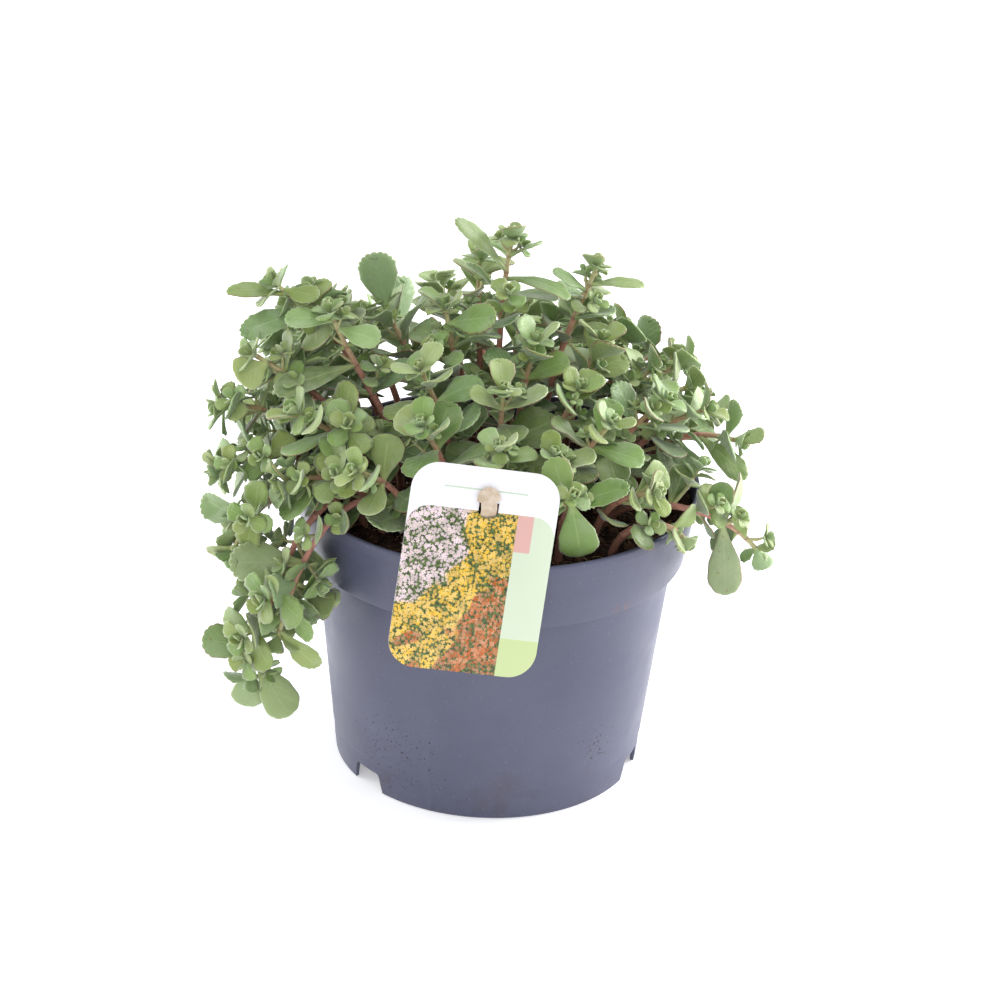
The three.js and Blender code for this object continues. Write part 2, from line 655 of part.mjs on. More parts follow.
class Leaf {
  constructor(base, length, width, curl, fold) {
    Object.assign(this, { base, length, width, curl, fold });
  }

  // A leaf that leaves its stem at an angle, with its face to the light.
  static fromStem(shoot, distance, angle, spread, length, width, curl, fold, roll) {
    const { point, tangent } = shoot.place(distance);
    const { across, up } = shoot.frame(tangent);
    const radial = mix([across, Math.cos(radians(angle))], [up, Math.sin(radians(angle))]);
    const leaf = new Leaf(point, length, width, curl, fold);
    const a = radians(spread);
    leaf.way = mix([tangent, Math.cos(a)], [radial, Math.sin(a)], [vec(0, 0, 1), LEAF.lift]);
    leaf.way.normalize();
    const outward = LIGHT.outward / (Math.hypot(point.x, point.y) + LIGHT.level);
    const away = vec(point.x * outward, point.y * outward, LIGHT.upward);
    const light = mix([tangent, LIGHT.along], [away, 1]);
    light.addScaledVector(leaf.way, -light.dot(leaf.way)).normalize();
    const edge = leaf.way.clone().cross(light);
    leaf.face = mix([light, Math.cos(radians(roll))], [edge, Math.sin(radians(roll))]);
    leaf.across = leaf.way.clone().cross(leaf.face);
    return leaf;
  }

  // A leaf whose tip lies at a given point.
  static toward(shoot, distance, tip, width, curl, hint) {
    const { point } = shoot.place(distance);
    const way = tip.clone().sub(point);
    const length = way.length() * (1 + (curl * curl) / 24);
    way.normalize();
    const face = mix([hint, 1], [way, -hint.dot(way)]).normalize();
    const leaf = new Leaf(point, length, width, curl, LEAF.featureFold);
    const [c, s] = [Math.cos(curl / 2), Math.sin(curl / 2)];
    leaf.way = mix([way, c], [face, s]);
    leaf.face = mix([face, c], [way, -s]);
    leaf.across = leaf.way.clone().cross(leaf.face);
    return leaf;
  }

  // How far the blade is turned about its own line against a side of the stem, in radians.
  twist(shoot, distance, side) {
    const { tangent } = shoot.place(distance);
    const foot = shoot.radial(tangent, side).cross(tangent);
    const level = mix([foot, 1], [this.way, -foot.dot(this.way)]).normalize();
    return Math.atan2(this.way.dot(level.clone().cross(this.across)), level.dot(this.across));
  }

  // Turns the blade about its own line until it is twisted no more than a leaf stalk
  // bears against the side of the stem that it leaves from.
  settle(shoot, distance, side, limit) {
    const twist = this.twist(shoot, distance, side);
    const most = radians(limit);
    const back = Math.min(most, Math.max(-most, twist)) - twist;
    const [c, s] = [Math.cos(back), Math.sin(back)];
    const turned = this.way.clone().cross(this.across);
    this.across = mix([this.across, c], [turned, s]);
    this.face = this.across.clone().cross(this.way);
  }

  // A point of the arched and folded blade: x along it, y across it in half-widths,
  // raised over its face.
  at(x, y, raised = 0) {
    const bend = this.curl * x;
    const half = this.width / 2;
    const forth = Math.sin(bend) / this.curl;
    const down = (1 - Math.cos(bend)) / this.curl;
    const fold = this.fold * y * y * half + raised;
    return mix(
      [this.base, 1],
      [this.way, forth * this.length + Math.sin(bend) * fold],
      [this.face, -down * this.length + Math.cos(bend) * fold],
      [this.across, y * half],
    );
  }

  probes() {
    return PROBES.map(([x, y]) => this.at(x, y * halfWidth(x)));
  }

  // Lens-shaped blade: one scalloped outline and a raised point on each face, joined to
  // the four corners of its foot on the stem.
  growFrom(overRight, underRight, overLeft, underLeft, add, triangles) {
    const small = this.length < LEAF.smallBelow;
    const rows = small ? LEAF.smallOutline : LEAF.outline;
    const thick = (small ? LEAF.smallThickness : 1) * (LEAF.thickness / 2);
    const rim = [
      ...rows.map(([x, y]) => this.at(x, y)),
      this.at(1, 0),
      ...rows.map(([x, y]) => this.at(x, -y)).reverse(),
    ].map(add);
    const over = add(this.at(LEAF.bulge, 0, thick));
    const under = add(this.at(LEAF.bulge, 0, -thick));
    const upper = [overRight, ...rim, overLeft];
    const lower = [underRight, ...rim, underLeft];
    for (let i = 0; i < upper.length; i += 1) {
      const next = (i + 1) % upper.length;
      triangles.push(over, upper[i], upper[next], under, lower[next], lower[i]);
    }
    triangles.push(overRight, underRight, rim[0], overLeft, rim.at(-1), underLeft);
  }
}

function halfWidth(x) {
  const { widest, stalk } = BLADE;
  if (x < widest) return stalk + (1 - stalk) * (x / widest);
  return Math.sqrt(Math.max(0, 1 - ((x - widest) / (1 - widest)) ** 2));
}

// What is taken already, as points with a radius in a grid of cells.
class Space {
  constructor(cell) {
    this.cell = cell;
    this.cells = new Map();
  }
  key(x, y, z) {
    return `${x},${y},${z}`;
  }
  put(point, radius, owner) {
    const [x, y, z] = [point.x, point.y, point.z].map((v) => Math.floor(v / this.cell));
    const key = this.key(x, y, z);
    if (!this.cells.has(key)) this.cells.set(key, []);
    this.cells.get(key).push({ point, radius, owner });
  }
  free(point, radius, skips = () => false) {
    const [x, y, z] = [point.x, point.y, point.z].map((v) => Math.floor(v / this.cell));
    for (let i = x - 1; i <= x + 1; i += 1) {
      for (let j = y - 1; j <= y + 1; j += 1) {
        for (let k = z - 1; k <= z + 1; k += 1) {
          for (const other of this.cells.get(this.key(i, j, k)) ?? []) {
            if (skips(other.owner)) continue;
            if (point.distanceTo(other.point) < radius + other.radius) return false;
          }
        }
      }
    }
    return true;
  }
}

function clearOfPot(point) {
  const { x, y, z } = point;
  if (z < POT_GAP + 1) return false;
  const r = Math.hypot(x, y);
  if (z < POT.height + POT_GAP) {
    const wall = outerRadius(Math.min(z, POT.height));
    const inside = r < wall - POT.wall - POT_GAP && z > soilHeight(x, y) + SOIL_GAP;
    if (r < wall + POT_GAP && !inside) return false;
  }
  const onCard = point.clone().applyMatrix4(cardPoseBack);
  const overCard = Math.abs(onCard.x) < CARD.width / 2 + POT_GAP
    && Math.abs(onCard.z) < CARD.height / 2 + POT_GAP;
  if (overCard && Math.abs(onCard.y) < CARD_HALF + POT_GAP) return false;
  const nearStake = Math.abs(x - slitPoint.x) < STAKE.headWidth / 2 + POT_GAP
    && y > CARD.centre[1] && y < slitPoint.y + STAKE.footBack + POT_GAP;
  return !(nearStake && z < slitPoint.z + STAKE.neckTop);
}

// The side of the stem that a leaf leaves from: of the free ones that it points away
// from, the one that asks for the least twist.
function bestSide(shoot, node, leaf) {
  const { tangent } = shoot.place(node.distance);
  const { degreesPerShare, least, refusal } = SIDE_CHOICE;
  let best = null;
  for (let side = 0; side < STEM.sides; side += 1) {
    const away = leaf.way.dot(shoot.radial(tangent, side));
    const twist = Math.abs(THREE.MathUtils.radToDeg(leaf.twist(shoot, node.distance, side)));
    const score = away - (away > least ? twist / degreesPerShare : refusal);
    if (!node.feet.has(side) && (!best || score > best.score)) best = { side, score };
  }
  return best.side;
}

function growLeaves(shoots) {
  const space = new Space(CELL);
  shoots.forEach((shoot, n) => {
    const steps = Math.floor(shoot.length / STEM_BALL_STEP);
    for (let i = 0; i <= steps; i += 1) {
      const distance = (shoot.length * i) / steps;
      const radius = shoot.radius(distance) + STEM_MARGIN;
      space.put(shoot.place(distance).point, radius, { shoot: n, stem: true });
    }
  });
  const keep = (leaf, n, node, side) => {
    node.feet.set(side, leaf);
    const owner = { shoot: n, distance: node.distance };
    for (const point of leaf.probes()) space.put(point, PROBE_RADIUS, owner);
  };
  // The stalk may lie near its own stem and the leaves beside it, the blade near none.
  const clear = (leaf, n, node) => leaf.probes().every((point, i) => {
    if (i >= STALK_PROBES) return clearOfPot(point) && space.free(point, PROBE_RADIUS);
    const beside = (owner) => owner.shoot === n
      && (owner.stem || Math.abs(owner.distance - node.distance) < STALK_REACH);
    return space.free(point, PROBE_RADIUS, (owner) => owner.shoot === n)
      && space.free(point, STALK_RADIUS, beside);
  });
  for (const [n, back, x, y, z, width, curl, hx, hy, hz] of FEATURES) {
    const node = shoots[n].nodeAt(shoots[n].length - back);
    const leaf = Leaf.toward(
      shoots[n], node.distance, vec(x, y, z), width, curl, vec(hx, hy, hz),
    );
    const side = bestSide(shoots[n], node, leaf);
    leaf.settle(shoots[n], node.distance, side, MOST_TWIST.feature);
    keep(leaf, n, node, side);
    node.taken = true;
  }
  shoots.forEach((shoot, n) => {
    const draw = new Draw(DRAWS.seed + DRAWS.seedStep * n);
    PAIRS.slice(0, shoot.pairs).forEach(([back, share, spread], k) => {
      const place = shoot.length - (back * shoot.leaf) / LEAF.referenceLength;
      for (let half = 0; half < 2; half += 1) {
        const angle = shoot.turn + 90 * k + 180 * half + draw.within(-DRAWS.swing, DRAWS.swing);
        const length = shoot.leaf * share * draw.within(...DRAWS.length);
        const width = length * draw.within(...DRAWS.width);
        const curl = draw.within(...DRAWS.curl);
        const fold = draw.within(...DRAWS.fold);
        const roll = draw.within(-DRAWS.roll, DRAWS.roll);
        const open = spread + draw.within(-DRAWS.spread, DRAWS.spread);
        if (place < LEAF.leastPlace) continue;
        const node = shoot.nodeAt(place);
        const side = (k + 2 * half) % STEM.sides;
        if (node.feet.has(side) || (node.taken && !node.feet.has((side + 2) % 4))) continue;
        for (const [more, swing, size] of TRIES) {
          const leaf = Leaf.fromStem(
            shoot, node.distance, angle + swing, open + more,
            length * size, width * size, curl, fold, roll,
          );
          leaf.settle(shoot, node.distance, side, MOST_TWIST.pair);
          if (clear(leaf, n, node)) {
            keep(leaf, n, node, side);
            break;
          }
        }
      }
    });
  });
}

// Scene graph

const MATERIALS = {
  pot: new THREE.MeshStandardMaterial({ color: 0x5f6079, roughness: 0.5, metalness: 0 }),
  soil: new THREE.MeshStandardMaterial({ color: 0x38241c, roughness: 0.97, metalness: 0 }),
  card: new THREE.MeshStandardMaterial({ color: 0xf0f0f2, roughness: 0.42, metalness: 0 }),
  stake: new THREE.MeshStandardMaterial({ color: 0xb9a58c, roughness: 0.5, metalness: 0 }),
  leaf: new THREE.MeshStandardMaterial({ color: 0x76985a, roughness: 0.55, metalness: 0 }),
};

const plant = new THREE.Group();

function addPiece(name, geometry, material) {
  const mesh = new THREE.Mesh(geometry, material);
  mesh.name = name;
  plant.add(mesh);
}

const shoots = SHOOTS.map((row) => new Shoot(row));
growLeaves(shoots);

let soil = soilSolid().subtract(stakeSlot());
for (const shoot of shoots) soil = soil.subtract(shoot.holeSolid());

addPiece('pot', geometryOf(potSolid()), MATERIALS.pot);
addPiece('soil', geometryOf(soil), MATERIALS.soil);
addPiece('label_card', geometryOf(cardSolid()), MATERIALS.card);
addPiece('label_stake', geometryOf(stakeSolid()), MATERIALS.stake);
shoots.forEach((shoot, n) => {
  addPiece(`leafy_shoot_${String(n + 1).padStart(2, '0')}`, shoot.geometry(), MATERIALS.leaf);
});

export default plant;
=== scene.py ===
"""Potted two-row stonecrop: the looks of the pot, its soil, the plant label and the plant.

Sizes are in millimetres in the classes and become metres where a mesh is made.
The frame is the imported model: +Z up, -Y the front, the origin under the pot's axis.
"""

import json
import logging
import math
from dataclasses import dataclass, field
from enum import Enum
from typing import Any, Callable, Iterable, Sequence

import bmesh
import bpy
import numpy as np
from mathutils import Matrix, Vector
from mathutils import noise as field_noise

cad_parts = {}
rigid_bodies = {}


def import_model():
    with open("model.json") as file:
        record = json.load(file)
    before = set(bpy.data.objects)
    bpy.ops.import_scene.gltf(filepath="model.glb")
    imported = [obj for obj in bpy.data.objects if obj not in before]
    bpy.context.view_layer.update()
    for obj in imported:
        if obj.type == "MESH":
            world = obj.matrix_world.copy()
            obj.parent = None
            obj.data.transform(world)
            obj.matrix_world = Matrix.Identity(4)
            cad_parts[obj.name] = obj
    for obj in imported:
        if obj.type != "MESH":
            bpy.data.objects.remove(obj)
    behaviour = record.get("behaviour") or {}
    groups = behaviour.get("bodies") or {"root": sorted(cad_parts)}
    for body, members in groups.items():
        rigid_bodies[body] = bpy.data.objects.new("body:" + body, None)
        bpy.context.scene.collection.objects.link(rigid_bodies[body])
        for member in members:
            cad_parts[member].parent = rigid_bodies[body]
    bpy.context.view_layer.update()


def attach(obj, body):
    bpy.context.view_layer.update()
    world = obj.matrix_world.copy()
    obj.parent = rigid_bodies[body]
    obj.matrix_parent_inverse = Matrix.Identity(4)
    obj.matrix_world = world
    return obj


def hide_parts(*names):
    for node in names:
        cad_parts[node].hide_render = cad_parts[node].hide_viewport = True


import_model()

MM = 0.001
LOG = logging.getLogger("stonecrop")
Array = np.ndarray


def colour(red: int, green: int, blue: int) -> tuple[float, float, float, float]:
    """A colour given as it looks on a screen, from 0 to 255, as Blender's linear one."""
    linear = [
        c / 12.92 if c <= 0.04045 else ((c + 0.055) / 1.055) ** 2.4
        for c in (red / 255, green / 255, blue / 255)
    ]
    return (*linear, 1.0)


class Side(Enum):
    """The two faces of a leaf."""

    UPPER = 1.0
    LOWER = -1.0


class Blade(Enum):
    """Which set of blade outlines a leaf is cut from."""

    GROWN = "grown"
    YOUNG = "young"


class Wiring:
    """A node tree that is being wired, for materials and for Geometry Nodes alike."""

    def __init__(self, tree: bpy.types.NodeTree) -> None:
        """Keeps the tree.

        Args:
            tree: the node tree that the nodes go into.
        """
        self.tree = tree

    def add(self, kind: str, inputs: dict | None = None, **settings: Any) -> bpy.types.Node:
        """Adds a node.

        Args:
            kind: the node's Blender type.
            inputs: values or sockets, by the input's identifier, name or number.
            settings: properties of the node itself.

        Returns:
            The new node.
        """
        node = self.tree.nodes.new(kind)
        for key, value in settings.items():
            setattr(node, key, value)
        for key, value in (inputs or {}).items():
            self.feed(self.input_of(node, key), value)
        return node

    @staticmethod
    def input_of(node: bpy.types.Node, key: str | int) -> bpy.types.NodeSocket:
        """The input of a node by its identifier, its name or its number."""
        if isinstance(key, int):
            return node.inputs[key]
        for socket in node.inputs:
            if socket.identifier == key:
                return socket
        return node.inputs[key]

    def feed(self, socket: bpy.types.NodeSocket, value: Any) -> None:
        """Links a socket to the input, or writes the value on it."""
        if isinstance(value, bpy.types.NodeSocket):
            self.tree.links.new(value, socket)
        else:
            socket.default_value = value

    def math(self, operation: str, *values: Any) -> bpy.types.NodeSocket:
        """A number worked out from up to three others."""
        node = self.add("ShaderNodeMath", dict(enumerate(values)), operation=operation)
        return node.outputs[0]

    def times(self, first: Any, second: Any, *others: Any) -> bpy.types.NodeSocket:
        """The product of two or more numbers."""
        product = self.math("MULTIPLY", first, second)
        for other in others:
            product = self.math("MULTIPLY", product, other)
        return product

    def plus(self, first: Any, second: Any) -> bpy.types.NodeSocket:
        """The sum of two numbers."""
        return self.math("ADD", first, second)

    def minus(self, first: Any, second: Any) -> bpy.types.NodeSocket:
        """The first number less the second."""
        return self.math("SUBTRACT", first, second)

    def vector(self, operation: str, *values: Any) -> bpy.types.NodeSocket:
        """A vector worked out from others."""
        node = self.add("ShaderNodeVectorMath", dict(enumerate(values)), operation=operation)
        return node.outputs[0]

    def scaled(self, vector: Any, amount: Any) -> bpy.types.NodeSocket:
        """A vector times a number."""
        node = self.add("ShaderNodeVectorMath", {0: vector, "Scale": amount}, operation="SCALE")
        return node.outputs[0]

    def split(self, vector: Any) -> tuple[Any, Any, Any]:
        """The three numbers of a vector."""
        outputs = self.add("ShaderNodeSeparateXYZ", {0: vector}).outputs
        return outputs[0], outputs[1], outputs[2]

    def ramp(self, value: Any, low: float, high: float, least: float = 0.0, most: float = 1.0) -> Any:
        """Carries a value smoothly from one range to another, kept inside the second."""
        inputs = {"Value": value, "From Min": low, "From Max": high, "To Min": least, "To Max": most}
        node = self.add("ShaderNodeMapRange", inputs, interpolation_type="SMOOTHSTEP")
        return node.outputs[0]

    def blend(self, share: Any, first: Any, second: Any) -> bpy.types.NodeSocket:
        """Mixes two colours by a share."""
        inputs = {"Factor_Float": share, "A_Color": first, "B_Color": second}
        node = self.add("ShaderNodeMix", inputs, data_type="RGBA", blend_type="MIX")
        return next(s for s in node.outputs if s.identifier == "Result_Color")

    def swirl(self, where: Any, scale: float) -> bpy.types.NodeSocket:
        """Draws a noise with three values of its own, each about nought."""
        node = self.add("ShaderNodeTexNoise", {"Vector": where, "Scale": scale, "Detail": 2.0})
        return self.vector("SUBTRACT", node.outputs["Color"], (0.5, 0.5, 0.5))

    def noise(self, where: Any, scale: float, detail: float = 3.0) -> bpy.types.NodeSocket:
        """Soft noise from 0 to 1 on a set of coordinates."""
        values = {"Vector": where, "Scale": scale, "Detail": detail}
        return self.add("ShaderNodeTexNoise", values).outputs["Fac"]


class Surface(Wiring):
    """A material that is being made, with its shader ready to be fed."""

    def __init__(self, name: str, **constants: Any) -> None:
        """Starts a material.

        Args:
            name: the material's name.
            constants: numbers for the shader's own sockets, with _ for a space.
        """
        self.material = bpy.data.materials.new(name)
        self.material.use_nodes = True
        super().__init__(self.material.node_tree)
        self.shader = self.tree.nodes["Principled BSDF"]
        for key, value in constants.items():
            self.shader.inputs[key.replace("_", " ")].default_value = value
        self.place = self.add("ShaderNodeTexCoord").outputs["Object"]

    def attribute(self, name: str, output: str = "Vector") -> bpy.types.NodeSocket:
        """One of the mesh's own named values."""
        node = self.add("ShaderNodeAttribute", attribute_name=name, attribute_type="GEOMETRY")
        return node.outputs[output]

    def bump(self, height: Any, depth: float, strength: float = 1.0) -> None:
        """Adds relief to the surface.

        Args:
            height: the relief, from 0 to 1.
            depth: how deep it is, in metres.
            strength: how much of it shows.
        """
        inputs = {"Height": height, "Distance": depth, "Strength": strength}
        shaped = self.shader.inputs["Normal"]
        if shaped.is_linked:
            inputs["Normal"] = shaped.links[0].from_socket
        self.feed(shaped, self.add("ShaderNodeBump", inputs).outputs[0])

    def patches(self, scale: float, detail: float, *span: float) -> bpy.types.NodeSocket:
        """Soft patches on the object's own coordinates, with a ramp's span."""
        return self.ramp(self.noise(self.place, scale, detail), *span)

    def grain(self, scale: float, detail: float, depth: float, strength: float = 1.0) -> None:
        """Adds the relief of a noise on the object's own coordinates."""
        self.bump(self.noise(self.place, scale, detail), depth, strength)

    def near(self, middle: Sequence[float], inner: float, outer: float) -> bpy.types.NodeSocket:
        """How near the surface is to a place: 1 within the inner reach, 0 past the outer."""
        away = self.add("ShaderNodeVectorMath", {0: self.place, 1: middle}, operation="DISTANCE")
        return self.ramp(away.outputs["Value"], inner, outer, 1.0, 0.0)

    def finish(self, base: Any, roughness: Any = None) -> bpy.types.Material:
        """Feeds the colour and the roughness, and returns the material."""
        self.feed(self.shader.inputs["Base Color"], base)
        if roughness is not None:
            self.feed(self.shader.inputs["Roughness"], roughness)
        return self.material


class GrowthTree(Wiring):
    """A Geometry Nodes tree with named inputs, which ends in one finished mesh."""

    KINDS = {
        float: "NodeSocketFloat",
        int: "NodeSocketInt",
        bpy.types.Material: "NodeSocketMaterial",
        bpy.types.Collection: "NodeSocketCollection",
    }

    def __init__(self, name: str, **inputs: type) -> None:
        """Starts a tree.

        Args:
            name: the tree's name.
            inputs: the kind of each input beside the mesh, by name.
        """
        tree = bpy.data.node_groups.new(name, "GeometryNodeTree")
        super().__init__(tree)
        face = tree.interface
        face.new_socket(name="Mesh", in_out="INPUT", socket_type="NodeSocketGeometry")
        for label, kind in inputs.items():
            face.new_socket(name=label, in_out="INPUT", socket_type=self.KINDS[kind])
        face.new_socket(name="Mesh", in_out="OUTPUT", socket_type="NodeSocketGeometry")
        self.given = self.add("NodeGroupInput").outputs

    def named(self, name: str, kind: str = "FLOAT") -> bpy.types.NodeSocket:
        """One of the mesh's own named values."""
        node = self.add("GeometryNodeInputNamedAttribute", {"Name": name}, data_type=kind)
        return next(s for s in node.outputs if s.name == "Attribute" and s.enabled)

    def strew(self) -> bpy.types.NodeSocket:
        """Spreads points over the given mesh by the tree's own density and seed."""
        keys = ("Mesh", "Density", "Seed")
        node = self.add(
            "GeometryNodeDistributePointsOnFaces", {key: self.given[key] for key in keys},
            distribute_method="RANDOM",
        )
        return node.outputs[0]

    def drawn(self, step: float, **span: float) -> bpy.types.NodeSocket:
        """A number of its own for each point, at a step from the tree's seed."""
        inputs = {**span, "Seed": self.plus(self.given["Seed"], step)}
        return self.add("FunctionNodeRandomValue", inputs, data_type="FLOAT").outputs[1]

    def shaded(self, copies: Any, shade: Any) -> bpy.types.NodeSocket:
        """Writes a shade on each copy."""
        inputs = {"Geometry": copies, "Name": "shade", "Value": shade}
        node = self.add(
            "GeometryNodeStoreNamedAttribute", inputs, data_type="FLOAT", domain="INSTANCE",
        )
        return node.outputs[0]

    def close(self, geometry: Any, finish: Any) -> bpy.types.NodeTree:
        """Makes real meshes of the copies, gives them their finish and ends the tree."""
        real = self.add("GeometryNodeRealizeInstances", {"Geometry": geometry}).outputs[0]
        smooth = self.add("GeometryNodeSetShadeSmooth", {"Geometry": real}).outputs[0]
        dressed = self.add("GeometryNodeSetMaterial", {"Geometry": smooth, "Material": finish})
        self.add("NodeGroupOutput", {0: dressed.outputs[0]})
        return self.tree


def run_tree(name: str, seedbed: bpy.types.Mesh, tree: bpy.types.NodeTree, **values: Any) -> Any:
    """Runs a Geometry Nodes tree on a mesh and keeps the result as a plain mesh.

    Args:
        name: the piece's name.
        seedbed: the mesh that the tree works on.
        tree: the tree.
        values: its inputs, by name.

    Returns:
        The piece, with no modifier left on it.
    """
    piece = bpy.data.objects.new(name, seedbed)
    bpy.context.scene.collection.objects.link(piece)
    modifier = piece.modifiers.new(tree.name, "NODES")
    modifier.node_group = tree
    for item in tree.interface.items_tree:
        if item.in_out == "INPUT" and item.name in values:
            modifier[item.identifier] = values[item.name]
    mesh = baked(piece)
    piece.modifiers.remove(modifier)
    piece.data = mesh
    bpy.data.meshes.remove(seedbed)
    return piece


def plain_mesh(name: str, points: Array, faces: Sequence, values: dict | None = None) -> Any:
    """Makes a mesh from points in millimetres.

    Args:
        name: the mesh's name.
        points: one row for each point.
        faces: corner numbers of each face, or of each edge where there are two.
        values: named values for the points, as numbers or vectors.

    Returns:
        The mesh.
    """
    mesh = bpy.data.meshes.new(name)
    places = (np.asarray(points, float) * MM).tolist()
    lines = [f for f in faces if len(f) == 2]
    mesh.from_pydata(places, lines, [f for f in faces if len(f) > 2])
    for key, rows in (values or {}).items():
        data = np.asarray(rows, np.float32)
        vectors = data.ndim == 2
        kind = "FLOAT_VECTOR" if vectors else "FLOAT"
        layer = mesh.attributes.new(key, kind, "POINT")
        layer.data.foreach_set("vector" if vectors else "value", data.ravel())
    mesh.update()
    return mesh


def baked(piece: bpy.types.Object) -> bpy.types.Mesh:
    """The mesh of a piece as its modifiers leave it."""
    graph = bpy.context.evaluated_depsgraph_get()
    return bpy.data.meshes.new_from_object(piece.evaluated_get(graph))


def face_outwards(mesh: bpy.types.Mesh) -> None:
    """Turns every face of a closed mesh outwards."""
    shape = bmesh.new()
    shape.from_mesh(mesh)
    bmesh.ops.recalc_face_normals(shape, faces=shape.faces)
    shape.to_mesh(mesh)
    shape.free()


def carry(mesh: bpy.types.Mesh, pose: Matrix) -> None:
    """Moves a mesh by a pose that is given in millimetres."""
    mesh.transform(Matrix.Scale(MM, 4) @ pose @ Matrix.Scale(1 / MM, 4))


def piece_of(name: str, mesh: bpy.types.Mesh, finish: bpy.types.Material, sharp: float = 0.0) -> Any:
    """Makes a piece of a mesh.

    Args:
        name: the piece's name.
        mesh: its mesh.
        finish: its material.
        sharp: edges that turn by more than this many degrees stay sharp, or 0 for none.

    Returns:
        The piece.
    """
    piece = bpy.data.objects.new(name, mesh)
    bpy.context.scene.collection.objects.link(piece)
    mesh.materials.clear()
    mesh.materials.append(finish)
    mesh.shade_smooth()
    if sharp:
        mesh.set_sharp_from_angle(angle=math.radians(sharp))
    return piece


def settle(piece: bpy.types.Object, slot: str, *nodes: str) -> None:
    """Ties a piece to the frame and reports it.

    Args:
        piece: the piece.
        slot: the record's material slot that it belongs to; not used.
        nodes: the CAD nodes that it stands for.
    """
    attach(piece, "root")
    if nodes:
        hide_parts(*nodes)
    piece.data.calc_loop_triangles()
    LOG.info("%s: %d triangles", piece.name, len(piece.data.loop_triangles))


def turned_mesh(name: str, profile: Sequence[tuple[float, float]], segments: int) -> Any:
    """Turns a profile of radius and height about the pot's axis.

    Args:
        name: the mesh's name.
        profile: points from the axis at the foot, round the outside, to the axis again.
        segments: how many steps the turn has.

    Returns:
        A closed mesh.
    """
    points: list[tuple[float, float, float]] = []
    rings: list[list[int]] = []
    for radius, height in profile:
        if radius == 0:
            rings.append([len(points)] * segments)
            points.append((0.0, 0.0, height))
            continue
        rings.append(list(range(len(points), len(points) + segments)))
        for step in range(segments):
            angle = 2 * math.pi * step / segments
            points.append((radius * math.cos(angle), radius * math.sin(angle), height))
    faces = []
    for low, high in zip(rings, rings[1:]):
        for step in range(segments):
            near = (step + 1) % segments
            face = [low[step], low[near], high[near], high[step]]
            faces.append(list(dict.fromkeys(face)))
    return plain_mesh(name, np.array(points), faces)


# Finishes


@dataclass(frozen=True)
class PotPlastic:
    """Moulded grey-blue plastic with dust, scuffs, streaks and soil near the foot."""

    name: str = "pot_plastic"
    body: tuple = colour(74, 76, 97)
    pale: tuple = colour(98, 99, 119)
    soil: tuple = colour(62, 46, 40)
    smear: tuple = colour(120, 78, 72)
    grit: tuple = colour(44, 34, 34)
    dust: tuple = colour(205, 205, 212)
    smear_at: tuple = (0.053, -0.061, 0.100)
    splashes: tuple = (((-0.040, -0.058, 0.022), 0.040), ((0.046, -0.050, 0.030), 0.018))
    streak_top: float = 0.075
    dirt_top: float = 0.045
    drawn_out: tuple = (1.0, 1.0, 0.12)

    def build(self) -> bpy.types.Material:
        """Makes the material."""
        s = Surface(self.name, Roughness=0.42, Specular_IOR_Level=0.45)
        _, _, z = s.split(s.place)
        cloud = s.noise(s.place, 22.0, 4.0)
        base = s.blend(s.ramp(cloud, 0.35, 0.7, 0.0, 0.35), self.body, self.pale)
        stretched = s.vector("MULTIPLY", s.place, self.drawn_out)
        streak = s.ramp(s.noise(stretched, 120.0, 3.0), 0.6, 0.74)
        low = s.ramp(z, 0.0, self.streak_top, 1.0, 0.0)
        base = s.blend(s.times(streak, low, 0.3), base, self.pale)
        specks = s.patches(900.0, 2.0, 0.7, 0.76)
        patch = s.patches(30.0, 2.0, 0.52, 0.68)
        foot = s.ramp(z, 0.0, self.dirt_top, 1.0, 0.08)
        dirt = s.times(specks, patch, foot)
        base = s.blend(s.times(dirt, 0.9), base, self.soil)
        veil = s.times(s.patches(55.0, 5.0, 0.52, 0.72), foot)
        base = s.blend(s.times(veil, 0.35), base, self.soil)
        dust = s.patches(1500.0, 1.0, 0.72, 0.8)
        base = s.blend(s.times(dust, 0.25), base, self.dust)
        spot = s.near(self.smear_at, 0.001, 0.006)
        rubbed = s.ramp(s.noise(stretched, 500.0, 3.0), 0.45, 0.6)
        base = s.blend(s.times(spot, rubbed, 0.5), base, self.smear)
        for middle, reach in self.splashes:
            splash = s.near(middle, 0.004, reach)
            speckle = s.plus(s.noise(s.place, 780.0, 2.0), s.times(splash, 0.07))
            grit = s.ramp(speckle, 0.7, 0.74)
            base = s.blend(s.times(splash, grit, 1.6), base, self.grit)
        rough = s.patches(45.0, 5.0, 0.3, 0.75, 0.34, 0.5)
        s.grain(700.0, 2.0, 0.00006, 0.5)
        s.grain(18.0, 2.0, 0.0008, 0.35)
        return s.finish(base, rough)


@dataclass(frozen=True)
class PottingSoil:
    """Dark fibrous potting soil."""

    name: str = "potting_soil"
    dark: tuple = colour(34, 24, 20)
    middle: tuple = colour(62, 44, 35)
    light: tuple = colour(104, 78, 60)

    def build(self) -> bpy.types.Material:
        """Makes the material."""
        s = Surface(self.name, Roughness=0.95, Specular_IOR_Level=0.2)
        base = s.blend(s.patches(160.0, 6.0, 0.38, 0.62), self.dark, self.middle)
        fleck = s.patches(620.0, 3.0, 0.6, 0.68)
        base = s.blend(s.times(fleck, 0.75), base, self.light)
        s.grain(420.0, 8.0, 0.0016)
        return s.finish(base)


